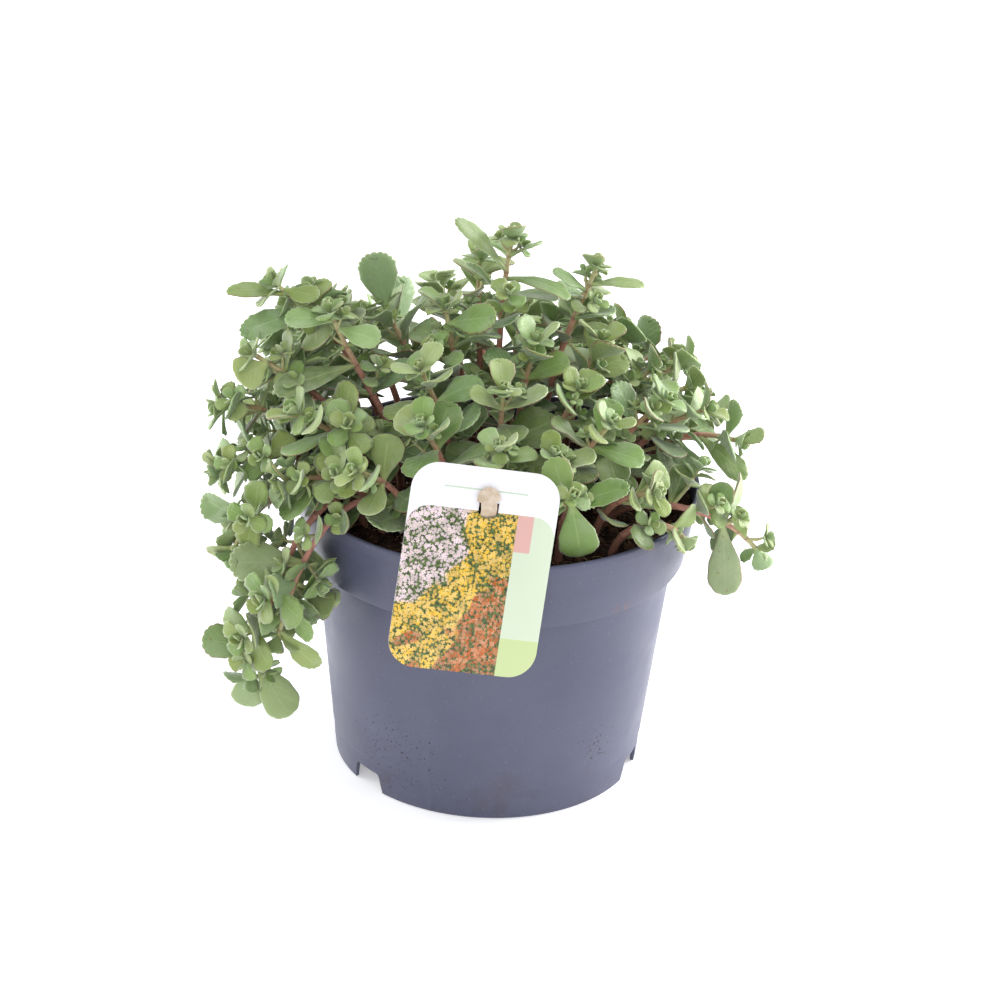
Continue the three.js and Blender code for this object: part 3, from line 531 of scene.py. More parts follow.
@dataclass(frozen=True)
class Scraps:
    """The finish of loose grains and fibres, each with a shade of its own."""

    name: str
    dark: tuple
    light: tuple
    rough: float

    def build(self) -> bpy.types.Material:
        """Makes the material."""
        s = Surface(self.name, Roughness=self.rough, Specular_IOR_Level=0.25)
        shade = s.attribute("shade", "Fac")
        mottled = s.plus(shade, s.patches(900.0, 4.0, 0.3, 0.7, -0.25, 0.25))
        base = s.blend(s.ramp(mottled, 0.0, 1.0), self.dark, self.light)
        s.grain(1600.0, 4.0, 0.0004, 0.8)
        return s.finish(base)


@dataclass(frozen=True)
class LeafFlesh:
    """Satin succulent leaf: pale rim, partly a painted edge highlight, pale midrib, duller underside,
    small blemishes.
    """

    name: str = "leaf_flesh"
    young: tuple = colour(140, 162, 90)
    middle: tuple = colour(122, 149, 76)
    aged: tuple = colour(90, 116, 64)
    # Grey-green wax bloom, partly a painted sheen where light grazes the leaves.
    bloom_and_sheen: tuple = colour(156, 168, 138)
    under: tuple = colour(138, 160, 112)
    vein: tuple = colour(172, 196, 128)
    # Pale leaf margin, partly a painted highlight where the edges catch light.
    rim: tuple = colour(176, 190, 144)
    red_rim: tuple = colour(150, 96, 84)
    stalk: tuple = colour(168, 184, 116)
    blemish: tuple = colour(124, 98, 62)
    vein_slant: float = 0.42
    vein_count: float = 7.0
    hue_steps: float = 7.0

    def build(self) -> bpy.types.Material:
        """Makes the material."""
        s = Surface(
            self.name, Specular_IOR_Level=0.5, Sheen_Weight=0.4, Sheen_Roughness=0.4,
        )
        along, across, edge = s.split(s.attribute("blade"))
        age, shade, harm = s.split(s.attribute("tone"))
        side = s.attribute("side", "Fac")
        wide = s.math("ABSOLUTE", across)
        base = s.blend(s.ramp(age, 0.0, 0.45), self.young, self.middle)
        base = s.blend(s.ramp(age, 0.4, 1.0), base, self.aged)
        mottle = s.noise(s.place, 260.0, 4.0)
        base = s.blend(s.ramp(mottle, 0.35, 0.75, 0.0, 0.3), base, self.young)
        # Patches of grey-green wax bloom, partly painted sheen where light grazes the leaf.
        bloom_and_sheen_patches = s.patches(140.0, 3.0, 0.45, 0.7)
        base = s.blend(s.times(bloom_and_sheen_patches, 0.34), base, self.bloom_and_sheen)
        phase = s.times(s.minus(along, s.times(wide, self.vein_slant)), self.vein_count)
        ridge = s.math("ABSOLUTE", s.minus(s.math("FRACT", phase), 0.5))
        inner = s.ramp(edge, 0.55, 0.95, 1.0, 0.0)
        side_vein = s.times(s.ramp(ridge, 0.0, 0.09, 1.0, 0.0), inner)
        fading = s.ramp(along, 0.7, 0.95, 1.0, 0.0)
        midrib = s.times(s.ramp(wide, 0.015, 0.07, 1.0, 0.0), fading)
        base = s.blend(s.times(side_vein, 0.16), base, self.vein)
        base = s.blend(s.times(midrib, 0.26), base, self.vein)
        base = s.blend(s.ramp(side, -0.15, -0.5, 0.0, 0.6), base, self.under)
        spots = s.patches(420.0, 3.0, 0.66, 0.7)
        base = s.blend(s.times(spots, s.ramp(harm, 0.6, 1.0, 0.0, 0.75)), base, self.blemish)
        blushing = s.ramp(s.plus(harm, s.noise(s.place, 90.0, 2.0)), 1.05, 1.3)
        # Pale or reddish leaf margin; the pale part is partly a painted highlight where the edges catch
        # light.
        rim_with_painted_highlight = s.blend(blushing, self.rim, self.red_rim)
        base = s.blend(s.ramp(edge, 0.9, 0.985, 0.0, 0.7), base, rim_with_painted_highlight)
        base = s.blend(s.ramp(along, 0.02, 0.3, 0.75, 0.0), base, self.stalk)
        tint = s.add("ShaderNodeHueSaturation", {
            "Hue": s.ramp(s.math("FRACT", s.times(shade, self.hue_steps)), 0.0, 1.0, 0.482, 0.514),
            "Saturation": s.ramp(shade, 0.0, 1.0, 1.08, 0.86),
            "Value": s.ramp(shade, 0.0, 1.0, 0.86, 1.18),
            "Color": base,
        }).outputs[0]
        s.bump(s.plus(s.times(midrib, -0.8), side_vein), 0.00022, 0.5)
        s.grain(1400.0, 2.0, 0.00006, 0.5)
        s.grain(300.0, 2.0, 0.0005, 0.35)
        rough = s.patches(500.0, 2.0, 0.3, 0.7, 0.42, 0.56)
        return s.finish(tint, rough)


@dataclass(frozen=True)
class StemBark:
    """Fleshy stem: pink-brown with dark rings at the leaf scars, green where young."""

    name: str = "stem_bark"
    old: tuple = colour(132, 90, 74)
    middle: tuple = colour(194, 134, 118)
    young: tuple = colour(172, 174, 122)
    ring: tuple = colour(118, 76, 62)

    def build(self) -> bpy.types.Material:
        """Makes the material."""
        s = Surface(self.name, Roughness=0.48, Specular_IOR_Level=0.4, Sheen_Weight=0.1)
        age, scar, shade = s.split(s.attribute("bark"))
        base = s.blend(s.ramp(age, 0.1, 0.55), self.old, self.middle)
        green = s.ramp(s.plus(age, s.times(shade, 0.35)), 0.72, 1.12)
        base = s.blend(green, base, self.young)
        drawn = s.noise(s.place, 420.0, 4.0)
        base = s.blend(s.ramp(drawn, 0.4, 0.7, 0.0, 0.4), base, self.old)
        base = s.blend(s.times(scar, 0.7), base, self.ring)
        s.grain(900.0, 4.0, 0.0003, 0.5)
        return s.finish(base)


@dataclass(frozen=True)
class CardPrint:
    """The label's face: a white header, a panel of plain flowers and a pale side strip."""

    name: str = "card_print"
    white: tuple = colour(236, 236, 240)
    ground: tuple = colour(50, 60, 34)
    yellow: tuple = colour(240, 192, 52)
    orange: tuple = colour(190, 92, 26)
    pink: tuple = colour(236, 214, 224)
    strip: tuple = colour(204, 216, 192)
    lower: tuple = colour(192, 208, 150)
    blush: tuple = colour(212, 168, 160)
    rule: tuple = colour(150, 186, 128)
    petal: tuple = colour(244, 228, 190)
    heart: tuple = colour(150, 96, 40)
    leafy: tuple = colour(96, 118, 56)
    strip_left: float = 1.42
    strip_foot: float = -2.62
    blush_foot: float = 0.9
    corner_x: float = 2.1
    corner_y: float = 1.5
    corner_reach: float = 0.9
    rule_y: float = 3.26
    rule_half: float = 1.7
    petals: float = 5.0
    layers: tuple = ((6.8, 0.05), (5.0, 0.3), (4.2, 0.55))

    def flowers(self, s: Surface, where: Any, size: float) -> tuple[Any, Any, Any]:
        """Five-petalled flowers, one in each cell of a scattered pattern.

        Args:
            s: the material.
            where: the place on the card, in centimetres.
            size: cells to a centimetre.

        Returns:
            How far a petal covers the place, how near its middle is, and a number of its own.
        """
        cell = s.add("ShaderNodeTexVoronoi", {"Vector": where, "Scale": size}, voronoi_dimensions="2D")
        away = s.vector("SUBTRACT", s.vector("MULTIPLY", where, (size, size, 0.0)),
                        s.vector("MULTIPLY", cell.outputs["Position"], (size, size, 0.0)))
        x, y, _ = s.split(away)
        own, _, _ = s.split(cell.outputs["Color"])
        turn = s.plus(s.math("ARCTAN2", y, x), s.times(own, 6.28))
        lobe = s.math("COSINE", s.times(turn, self.petals))
        reach = s.plus(s.times(lobe, 0.12), 0.36)
        inside = s.minus(reach, cell.outputs["Distance"])
        petal = s.ramp(inside, -0.02, 0.04)
        heart = s.ramp(cell.outputs["Distance"], 0.04, 0.12, 1.0, 0.0)
        return petal, heart, own

    def build(self) -> bpy.types.Material:
        """Makes the material."""
        s = Surface(self.name, Roughness=0.3, Specular_IOR_Level=0.5)
        where = s.attribute("print")
        x, y, face = s.split(where)
        drift = s.noise(where, 0.55, 1.0)
        bed = s.plus(s.times(s.minus(x, y), 0.12), drift)
        tint = s.blend(s.ramp(bed, 0.3, 0.36), self.pink, self.yellow)
        tint = s.blend(s.ramp(bed, 0.66, 0.7), tint, self.orange)
        picture = s.blend(s.ramp(s.noise(where, 9.0, 2.0), 0.4, 0.6), self.ground, self.leafy)
        stirred = s.vector("ADD", where, s.scaled(s.swirl(where, 1.6), 0.22))
        clump = s.noise(where, 1.7, 3.0)
        for size, least in self.layers:
            petal, heart, own = self.flowers(s, stirred, size)
            chance = s.plus(own, s.times(s.minus(clump, 0.5), 1.6))
            shown = s.times(petal, s.ramp(chance, least, least + 0.06))
            shade = s.blend(s.ramp(own, 0.3, 1.0, 0.0, 0.3), tint, self.petal)
            shade = s.blend(s.ramp(clump, 0.62, 0.35, 0.0, 0.35), shade, self.ground)
            centre = s.blend(s.times(heart, 0.7), shade, self.heart)
            picture = s.blend(shown, picture, centre)
        foot, left = self.strip_foot, self.strip_left
        strip = s.blend(s.ramp(y, foot, foot + 0.04, 1.0, 0.0), self.strip, self.lower)
        high = s.ramp(y, self.blush_foot, self.blush_foot + 0.04)
        strip = s.blend(s.times(high, s.ramp(x, self.corner_x, self.corner_x - 0.04)), strip, self.blush)
        base = s.blend(s.ramp(x, left, left + 0.02), picture, strip)
        beyond = s.math("MAXIMUM", s.minus(s.math("ABSOLUTE", x), self.corner_x), 0.0)
        above = s.math("MAXIMUM", s.minus(y, self.corner_y), 0.0)
        squares = s.plus(s.math("POWER", beyond, 2.0), s.math("POWER", above, 2.0))
        corner = s.math("SQRT", squares)
        base = s.blend(s.ramp(corner, self.corner_reach, self.corner_reach + 0.02), base, self.white)
        line = s.times(
            s.ramp(y, self.rule_y - 0.04, self.rule_y - 0.02),
            s.ramp(y, self.rule_y + 0.04, self.rule_y + 0.02),
        )
        short = s.times(line, s.ramp(s.math("ABSOLUTE", x), self.rule_half, self.rule_half - 0.02))
        base = s.blend(s.times(short, 0.6), base, self.rule)
        base = s.blend(s.ramp(face, 0.4, 0.6), self.white, base)
        s.grain(240.0, 2.0, 0.0002, 0.15)
        return s.finish(base)


@dataclass(frozen=True)
class StakePlastic:
    """Tan moulded plastic of the label's stake."""

    name: str = "stake_plastic"
    tan: tuple = colour(186, 166, 142)
    worn: tuple = colour(206, 192, 172)

    def build(self) -> bpy.types.Material:
        """Makes the material."""
        s = Surface(self.name, Roughness=0.42)
        base = s.blend(s.patches(300.0, 4.0, 0.35, 0.7), self.tan, self.worn)
        s.grain(900.0, 2.0, 0.0001, 0.5)
        return s.finish(base)


# Pot


@dataclass
class Pot:
    """The nursery pot: a tapered body, a broad band, three notches and six drain holes."""

    height: float = 128.0
    rim: float = 85.0
    lip: float = 5.0
    lip_radius: float = 84.6
    band_top: float = 84.0
    band: float = 30.0
    band_foot: float = 80.3
    body_top: float = 75.6
    ring: float = 14.0
    ring_step: float = 0.35
    foot: float = 65.0
    wall: float = 1.5
    floor: float = 1.6
    disc: float = 44.0
    channel: float = 9.6
    segments: int = 240
    notches: int = 3
    first_notch: float = 101.0
    notch_width: float = 19.0
    notch_top: float = 14.5
    notch_height: float = 9.0
    drains: int = 6
    drain_radius: float = 3.6
    drain_ring: float = 54.5
    drain_steps: int = 24
    drain_reach: float = 4.0
    notch_below: float = 2.0
    notch_round: float = 1.8
    notch_inset: float = 1.6
    notch_reach: float = 5.0
    band_middle: float = 14.0
    sharpest: float = 38.0
    finish: PotPlastic = field(default_factory=PotPlastic)

    def outer(self, z: float) -> float:
        """The outer radius at a height."""
        band_foot = self.height - self.band
        if z > band_foot:
            return self.band_foot + (self.rim - self.band_foot) * (z - band_foot) / self.band
        return self.foot + (self.body_top - self.foot) * z / band_foot

    def profile(self) -> list[tuple[float, float]]:
        """The wall's outline from the axis under the pot, round its outside, to the axis inside.

        The small numbers are the rounding of its edges.
        """
        shelf = self.height - self.band
        middle = shelf + self.band_middle
        lip = self.height - self.lip
        ring = self.outer(self.ring)
        roof = self.channel + self.floor
        under = [
            (0, 0), (self.disc - 0.6, 0), (self.disc, 0.5), (self.disc + 1.5, self.channel - 0.6),
            (self.disc + 2.2, self.channel), (self.foot - self.wall - 0.3, self.channel),
            (self.foot - self.wall + 0.3, self.channel - 0.7), (self.foot - self.wall, 0.4),
            (self.foot - self.wall + 0.3, 0), (self.foot - 0.4, 0), (self.foot, 0.4),
        ]
        outside = [
            (self.outer(5), 5.0), (ring - self.ring_step, self.ring - 0.35),
            (ring - 0.08, self.ring - 0.1),
            (ring, self.ring + 0.3), (self.outer(40), 40.0), (self.outer(70), 70.0),
            (self.body_top - 0.05, shelf - 1.0), (self.body_top + 0.5, shelf - 0.45),
            (self.band_foot - 1.0, shelf - 0.1), (self.band_foot - 0.25, shelf + 0.2),
            (self.band_foot + 0.1, shelf + 0.9), (self.outer(middle), middle),
            (self.band_top, lip - 0.35), (self.lip_radius - 0.1, lip - 0.1),
            (self.lip_radius + 0.02, lip + 0.3), (self.rim, self.height - 1.0),
            (self.rim - 0.15, self.height - 0.3), (self.rim - 0.5, self.height),
        ]
        inside = [
            (self.rim - self.wall, self.height), (self.rim - self.wall - 0.3, self.height - 0.3),
            (self.rim - self.wall - 0.35, self.height - 1.0), (self.outer(middle) - self.wall, middle),
            (self.band_foot - self.wall, shelf + 2.2), (self.body_top - self.wall, shelf - 1.4),
            (self.outer(roof) - self.wall, roof), (self.disc + 3.0, roof),
            (self.disc + 1.4, self.floor), (0, self.floor),
        ]
        return under + outside + inside

    def notch_cutter(self, index: int) -> Array:
        """The corners of one notch, outer ring then inner ring, rounded at its top."""
        w, t, h = self.notch_width / 2, self.notch_top / 2, self.notch_height
        below, bend, inset = self.notch_below, self.notch_round, self.notch_inset
        outline = [(-w, -below), (w, -below), (t + 0.5, h - 2.2)]
        for side, first in ((1, 10), (-1, 90)):
            for step in range(5):
                a = math.radians(first + 80 * step / 4)
                outline.append((side * (t - inset) + bend * math.cos(a), h - bend + bend * math.sin(a)))
        outline.append((-t - 0.5, h - 2.2))
        turn = math.radians(self.first_notch + 360 / self.notches * index)
        out, side = (math.cos(turn), math.sin(turn)), (-math.sin(turn), math.cos(turn))
        rows = []
        for radius in (self.foot + self.notch_reach, self.foot - self.notch_reach):
            for u, v in outline:
                rows.append((out[0] * radius + side[0] * u, out[1] * radius + side[1] * u, v))
        return np.array(rows)

    def cutters(self) -> bpy.types.Object:
        """One cutter object with the three notches and the six drain holes."""
        points: list[Any] = []
        faces: list[list[int]] = []
        for rows in [self.notch_cutter(i) for i in range(self.notches)] + self.drain_cutters():
            start, count = sum(len(p) for p in points), len(rows) // 2
            points.append(rows)
            faces.append(list(range(start, start + count)))
            faces.append(list(range(start + 2 * count - 1, start + count - 1, -1)))
            for i in range(count):
                j = (i + 1) % count
                faces.append([start + j, start + i, start + count + i, start + count + j])
        mesh = plain_mesh("cutters", np.vstack(points), faces)
        face_outwards(mesh)
        cutter = bpy.data.objects.new("cutters", mesh)
        bpy.context.scene.collection.objects.link(cutter)
        return cutter

    def drain_cutters(self) -> list[Array]:
        """The corners of each drain hole, upper ring then lower ring."""
        found = []
        for i in range(self.drains):
            turn = 2 * math.pi * (i + 0.5) / self.drains
            x, y = self.drain_ring * math.cos(turn), self.drain_ring * math.sin(turn)
            rows = []
            for z in (self.channel + self.drain_reach, self.channel - self.drain_reach):
                for step in range(self.drain_steps):
                    a = 2 * math.pi * step / self.drain_steps
                    across, along = self.drain_radius * math.cos(a), self.drain_radius * math.sin(a)
                    rows.append((x + across, y + along, z))
            found.append(np.array(rows))
        return found

    def build(self) -> bpy.types.Object:
        """Makes the pot and cuts its notches and drain holes."""
        shell = turned_mesh("pot_shell", self.profile(), self.segments)
        piece = piece_of("pot_shell", shell, self.finish.build())
        cutter = self.cutters()
        modifier = piece.modifiers.new("openings", "BOOLEAN")
        modifier.object = cutter
        modifier.operation = "DIFFERENCE"
        modifier.solver = "EXACT"
        mesh = baked(piece)
        piece.modifiers.remove(modifier)
        piece.data = mesh
        bpy.data.objects.remove(cutter)
        mesh.shade_smooth()
        mesh.set_sharp_from_angle(angle=math.radians(self.sharpest))
        settle(piece, "pot_plastic", "pot")
        return piece


# Soil


@dataclass
class Soil:
    """The filling: a rough surface with grains, fibres and a few white pieces on it."""

    pot: Pot
    level: float = 119.0
    coarse: float = 1.1
    fine: float = 0.7
    wave: tuple[float, float, float] = (0.19, 0.6, 0.17)
    ripple: tuple[float, float] = (0.37, 0.29)
    bank: tuple[float, float, float, float] = (62.0, 40.0, 7.0, 900.0)
    lump_size: float = 0.13
    lump_height: float = 1.6
    grit_size: float = 0.7
    grit_height: float = 0.5
    lid: float = 500.0
    slump: float = 1.2
    slump_reach: float = 5.0
    bed_steps: int = 60
    bed_margin: float = 2.4
    play: float = 0.3
    edge_gap: float = 0.35
    rings: int = 70
    segments: int = 200
    finish: PottingSoil = field(default_factory=PottingSoil)

    def height(self, x: float, y: float) -> float:
        """The height of the soil in the source model."""
        across, start, along = self.wave
        waves = self.coarse * math.sin(x * across + start) * math.cos(y * along)
        waves += self.fine * math.sin(x * self.ripple[0] + y * self.ripple[1])
        bx, by, rise, spread = self.bank
        return self.level + waves + rise * math.exp(-((x - bx) ** 2 + (y - by) ** 2) / spread)

    def rough(self, x: float, y: float) -> float:
        """The height with the crumbs that the source model leaves out."""
        where = Vector((x * self.lump_size, y * self.lump_size, 4.2))
        lumps = field_noise.fractal(where, 0.9, 2.1, 4) * self.lump_height
        fine = Vector((x * self.grit_size, y * self.grit_size, 1.0))
        grit = field_noise.noise(fine) * self.grit_height
        return self.height(x, y) + lumps + grit

    def build_body(self) -> bpy.types.Object:
        """Makes the filling as one closed body."""
        pot = self.pot
        shelf = pot.height - pot.band
        roof = pot.channel + pot.floor
        edge = pot.outer(self.level) - pot.wall - self.edge_gap - self.play
        sides = [
            (0, pot.floor + self.play), (pot.disc + 1.4 - self.play, pot.floor + self.play),
            (pot.disc + 3 - self.play, roof + self.play),
            (pot.outer(roof) - pot.wall - self.play, roof + self.play),
            (pot.body_top - pot.wall - self.play - 0.1, shelf - 1.3),
            (pot.band_foot - pot.wall - self.play - 0.1, shelf + 2.5),
        ]
        top = [(edge * (1 - i / self.rings), self.lid) for i in range(self.rings)]
        top.append((0, self.lid))
        mesh = turned_mesh("soil_body", sides + top, self.segments)
        for vertex in mesh.vertices:
            x, y, z = (c / MM for c in vertex.co)
            if z > self.lid - 1:
                near = max(0.0, math.hypot(x, y) - edge + self.slump_reach) / self.slump_reach
                vertex.co.z = (self.rough(x, y) - self.slump * near ** 2) * MM
        piece = piece_of("soil_body", mesh, self.finish.build())
        settle(piece, "soil", "soil")
        return piece

    def seedbed(self) -> bpy.types.Mesh:
        """The open upper surface that the loose pieces lie on."""
        steps = self.bed_steps
        reach = self.pot.outer(self.level) - self.pot.wall - self.bed_margin
        axis = np.linspace(-reach, reach, steps)
        points = [(x, y, self.rough(x, y)) for y in axis for x in axis]
        faces = []
        for j in range(steps - 1):
            for i in range(steps - 1):
                first = j * steps + i
                corner = [first, first + 1, first + steps + 1, first + steps]
                if all(math.hypot(points[c][0], points[c][1]) < reach for c in corner):
                    faces.append(corner)
        return plain_mesh("seedbed", np.array(points), faces)


class GrainTree:
    """Grains strewn over a surface, each a lump with a size, turn and shade of its own."""

    @staticmethod
    def build(name: str) -> bpy.types.NodeTree:
        """Makes the tree.

        Args:
            name: the tree's name.

        Returns:
            The tree, with inputs for the grains' number to a square metre, least and
            greatest size, faces, squash, seed and finish.
        """
        g = GrowthTree(
            name, Density=float, Least=float, Greatest=float, Faces=int, Squash=float,
            Seed=int, Finish=bpy.types.Material,
        )
        given = g.given
        ball = g.add("GeometryNodeMeshIcoSphere", {"Radius": 1.0, "Subdivisions": given["Faces"]})
        place = g.add("GeometryNodeInputPosition").outputs[0]
        lump = g.add("GeometryNodeSetPosition", {
            "Geometry": ball.outputs[0],
            "Position": g.scaled(place, g.plus(g.noise(place, 1.3, 2.0), 0.45)),
        }).outputs[0]
        turn = g.add("FunctionNodeRandomValue", {
            "Max": (6.28, 6.28, 6.28), "Seed": given["Seed"],
        }, data_type="FLOAT_VECTOR").outputs[0]
        share = g.math("POWER", g.drawn(5.0), 2.2)
        span = g.minus(given["Greatest"], given["Least"])
        size = g.math("MULTIPLY_ADD", share, span, given["Least"])
        squashed = g.times(size, given["Squash"])
        flat = g.add("ShaderNodeCombineXYZ", {0: size, 1: size, 2: squashed})
        strewn = g.add("GeometryNodeInstanceOnPoints", {
            "Points": g.strew(), "Instance": lump,
            "Rotation": turn, "Scale": flat.outputs[0],
        }).outputs[0]
        return g.close(g.shaded(strewn, g.drawn(9.0)), given["Finish"])


class FibreTree:
    """Thin curved fibres strewn over a surface."""

    @staticmethod
    def build(name: str) -> bpy.types.NodeTree:
        """Makes the tree.

        Args:
            name: the tree's name.

        Returns:
            The tree, with inputs for the fibres' number to a square metre, length,
            thickness, seed and finish.
        """
        g = GrowthTree(
            name, Density=float, Length=float, Girth=float, Seed=int, Finish=bpy.types.Material,
        )
        given = g.given
        arc = g.add("GeometryNodeCurvePrimitiveBezierSegment", {
            "Resolution": 7, "Start": (-0.5, 0.0, -0.04), "Start Handle": (-0.2, 0.32, 0.16),
            "End Handle": (0.2, -0.26, 0.2), "End": (0.5, 0.06, -0.05),
        }).outputs[0]
        ring = g.add("GeometryNodeCurvePrimitiveCircle", {"Resolution": 4, "Radius": 1.0}).outputs[0]
        thin = g.math("DIVIDE", given["Girth"], given["Length"])
        strand = g.add("GeometryNodeCurveToMesh", {
            "Curve": arc, "Profile Curve": ring, "Scale": thin, "Fill Caps": True,
        }).outputs[0]
        turn = g.add("FunctionNodeRandomValue", {
            "Min": (-0.35, -0.35, 0.0), "Max": (0.35, 0.35, 6.28), "Seed": given["Seed"],
        }, data_type="FLOAT_VECTOR").outputs[0]
        draw = g.drawn(5.0, Min_001=0.35, Max_001=1.0)
        strewn = g.add("GeometryNodeInstanceOnPoints", {
            "Points": g.strew(), "Instance": strand, "Rotation": turn,
            "Scale": g.times(draw, given["Length"]),
        }).outputs[0]
        return g.close(g.shaded(strewn, draw), given["Finish"])


@dataclass
class LoosePieces:
    """What lies on the soil: crumbs, lumps, fibres and white grains."""

    soil: Soil

    def build(self) -> None:
        """Strews the pieces and settles them on the frame."""
        grains = GrainTree.build("strewn_grains")
        fibres = FibreTree.build("strewn_fibres")
        crumb = Scraps("soil_crumbs", colour(36, 25, 20), colour(96, 70, 54), 0.95).build()
        white = Scraps("white_grains", colour(196, 190, 180), colour(240, 238, 232), 0.85).build()
        straw = Scraps("plant_fibres", colour(98, 62, 44), colour(186, 148, 108), 0.8).build()
        kinds = [
            ("soil_crumbs", 92000.0, 0.0004, 0.0013, 1, 0.8, 3, crumb),
            ("soil_lumps", 26000.0, 0.0008, 0.0026, 2, 0.75, 17, crumb),
            ("white_grains", 3200.0, 0.0005, 0.0016, 2, 0.85, 31, white),
        ]
        for name, density, least, greatest, faces, squash, seed, finish in kinds:
            piece = run_tree(
                name, self.soil.seedbed(), grains, Density=density, Least=least,
                Greatest=greatest, Faces=faces, Squash=squash, Seed=seed, Finish=finish,
            )
            settle(piece, "soil")
        piece = run_tree(
            "soil_fibres", self.soil.seedbed(), fibres, Density=22000.0, Length=0.011,
            Girth=0.00016, Seed=8, Finish=straw,
        )
        settle(piece, "soil")


# Label


@dataclass
class Label:
    """The card and the stake that holds it in the soil."""

    centre: tuple[float, float, float] = (-7.5, -88.0, 128.6)
    yaw: float = 10.7
    lean: float = -15.6
    spin: float = 9.1
    width: float = 60.0
    height: float = 83.0
    thickness: float = 0.8
    corner: float = 11.0
    slit: tuple[float, float, float, float] = (2.0, 24.5, 8.0, 6.6)
    stake_width: float = 6.4
    stake_thickness: float = 1.2
    behind: float = 0.7
    before: float = 1.75
    foot_back: float = 4.4
    foot: float = -49.6
    tip: float = 12.0
    bend: tuple[float, float] = (-3.0, 1.4)
    neck_top: float = 9.8
    head_width: float = 9.4
    head_height: float = 5.2
    corner_steps: int = 14
    slit_round: float = 2.2
    slit_bend: float = 0.5
    soft_edge: float = 0.12
    stake_around: int = 12
    stake_squareness: float = 0.45
    stake_point: float = 0.4

    def pose(self) -> Matrix:
        """Carries the card from its own plane to its place, in millimetres."""
        turn = Matrix.Rotation(math.radians(self.yaw), 4, "Z")
        turn = turn @ Matrix.Rotation(math.radians(self.lean), 4, "X")
        turn = turn @ Matrix.Rotation(math.radians(self.spin), 4, "Y")
        return Matrix.Translation(self.centre) @ turn

    def outline(self) -> list[tuple[float, float]]:
        """The card's edge with its rounded corners."""
        x, z = self.width / 2 - self.corner, self.height / 2 - self.corner
        steps = self.corner_steps
        found = []
        for quarter, (cx, cz) in enumerate([(x, z), (-x, z), (-x, -z), (x, -z)]):
            for step in range(steps + 1):
                a = math.radians(90 * (quarter + step / steps))
                found.append((cx + self.corner * math.cos(a), cz + self.corner * math.sin(a)))
        return found

    def slit_outline(self) -> list[tuple[float, float]]:
        """The opening that the stake comes through."""
        x, z, w, h = self.slit
        return [
            (x + w / 2, z + h / 2), (x - w / 2, z + h / 2), (x - w / 2, z - h / 2 + self.slit_round),
            (x - w / 4, z - h / 2 + self.slit_bend), (x, z - h / 2),
            (x + w / 4, z - h / 2 + self.slit_bend),
            (x + w / 2, z - h / 2 + self.slit_round),
        ]

    def card(self) -> bpy.types.Object:
        """Makes the card, with its print's place in centimetres on it."""
        shape = bmesh.new()
        loops = []
        for ring in (self.outline(), self.slit_outline()):
            verts = [shape.verts.new((x, 0.0, z)) for x, z in ring]
            loops += [shape.edges.new((a, b)) for a, b in zip(verts, verts[1:] + verts[:1])]
        bmesh.ops.triangle_fill(shape, use_beauty=True, edges=loops)
        bmesh.ops.recalc_face_normals(shape, faces=shape.faces)
        if sum(f.normal.y * f.calc_area() for f in shape.faces) > 0:
            bmesh.ops.reverse_faces(shape, faces=shape.faces)
        mesh = bpy.data.meshes.new("label_print_card")
        shape.to_mesh(mesh)
        shape.free()
        mesh.transform(Matrix.Scale(MM, 4))
        piece = piece_of("label_print_card", mesh, CardPrint().build())
        thick = piece.modifiers.new("thickness", "SOLIDIFY")
        thick.thickness = self.thickness * MM
        thick.offset = 0.0
        bevel = piece.modifiers.new("soft_edges", "BEVEL")
        bevel.width = self.soft_edge * MM
        bevel.segments = 2
        solid = baked(piece)
        piece.modifiers.clear()
        piece.data = solid
        layer = solid.attributes.new("print", "FLOAT_VECTOR", "POINT")
        for vertex in solid.vertices:
            x, y, z = vertex.co
            layer.data[vertex.index].vector = (x * 100, z * 100, 1.0 if y < 0 else 0.0)
        carry(solid, self.pose())
        solid.shade_smooth()
        solid.set_sharp_from_angle(angle=math.radians(30))
        settle(piece, "label_card", "label_card")
        return piece

    def stake_lines(self) -> list[tuple[float, float]]:
        """The stake's middle line seen from its side: how far back, and how high."""
        rise = math.tan(math.radians(-self.lean))
        low, high = self.bend
        line = [
            (self.foot_back, self.foot), (self.behind + 0.3, low - 2.0), (self.behind, low),
            (-self.before * 0.4, (low + high) / 2 + 0.2), (-self.before, high),
        ]
        for step in range(1, 7):
            z = high + (self.neck_top - high) * step / 6
            line.append((-self.before + rise * (z - high), z))
        return line

    def stake_half_width(self, z: float) -> float:
        """The stake's half width at a height: a point, a strip, then the mushroom head."""
        head_foot = self.neck_top - self.head_height
        if z < self.foot + self.tip:
            widening = (self.stake_width / 2 - self.stake_point) * (z - self.foot) / self.tip
            return self.stake_point + widening
        if z < head_foot:
            return self.stake_width / 2
        share = min(1.0, (z - head_foot) / self.head_height)
        return self.head_width / 2 * math.sqrt(max(0.02, 1 - share ** 2.6))

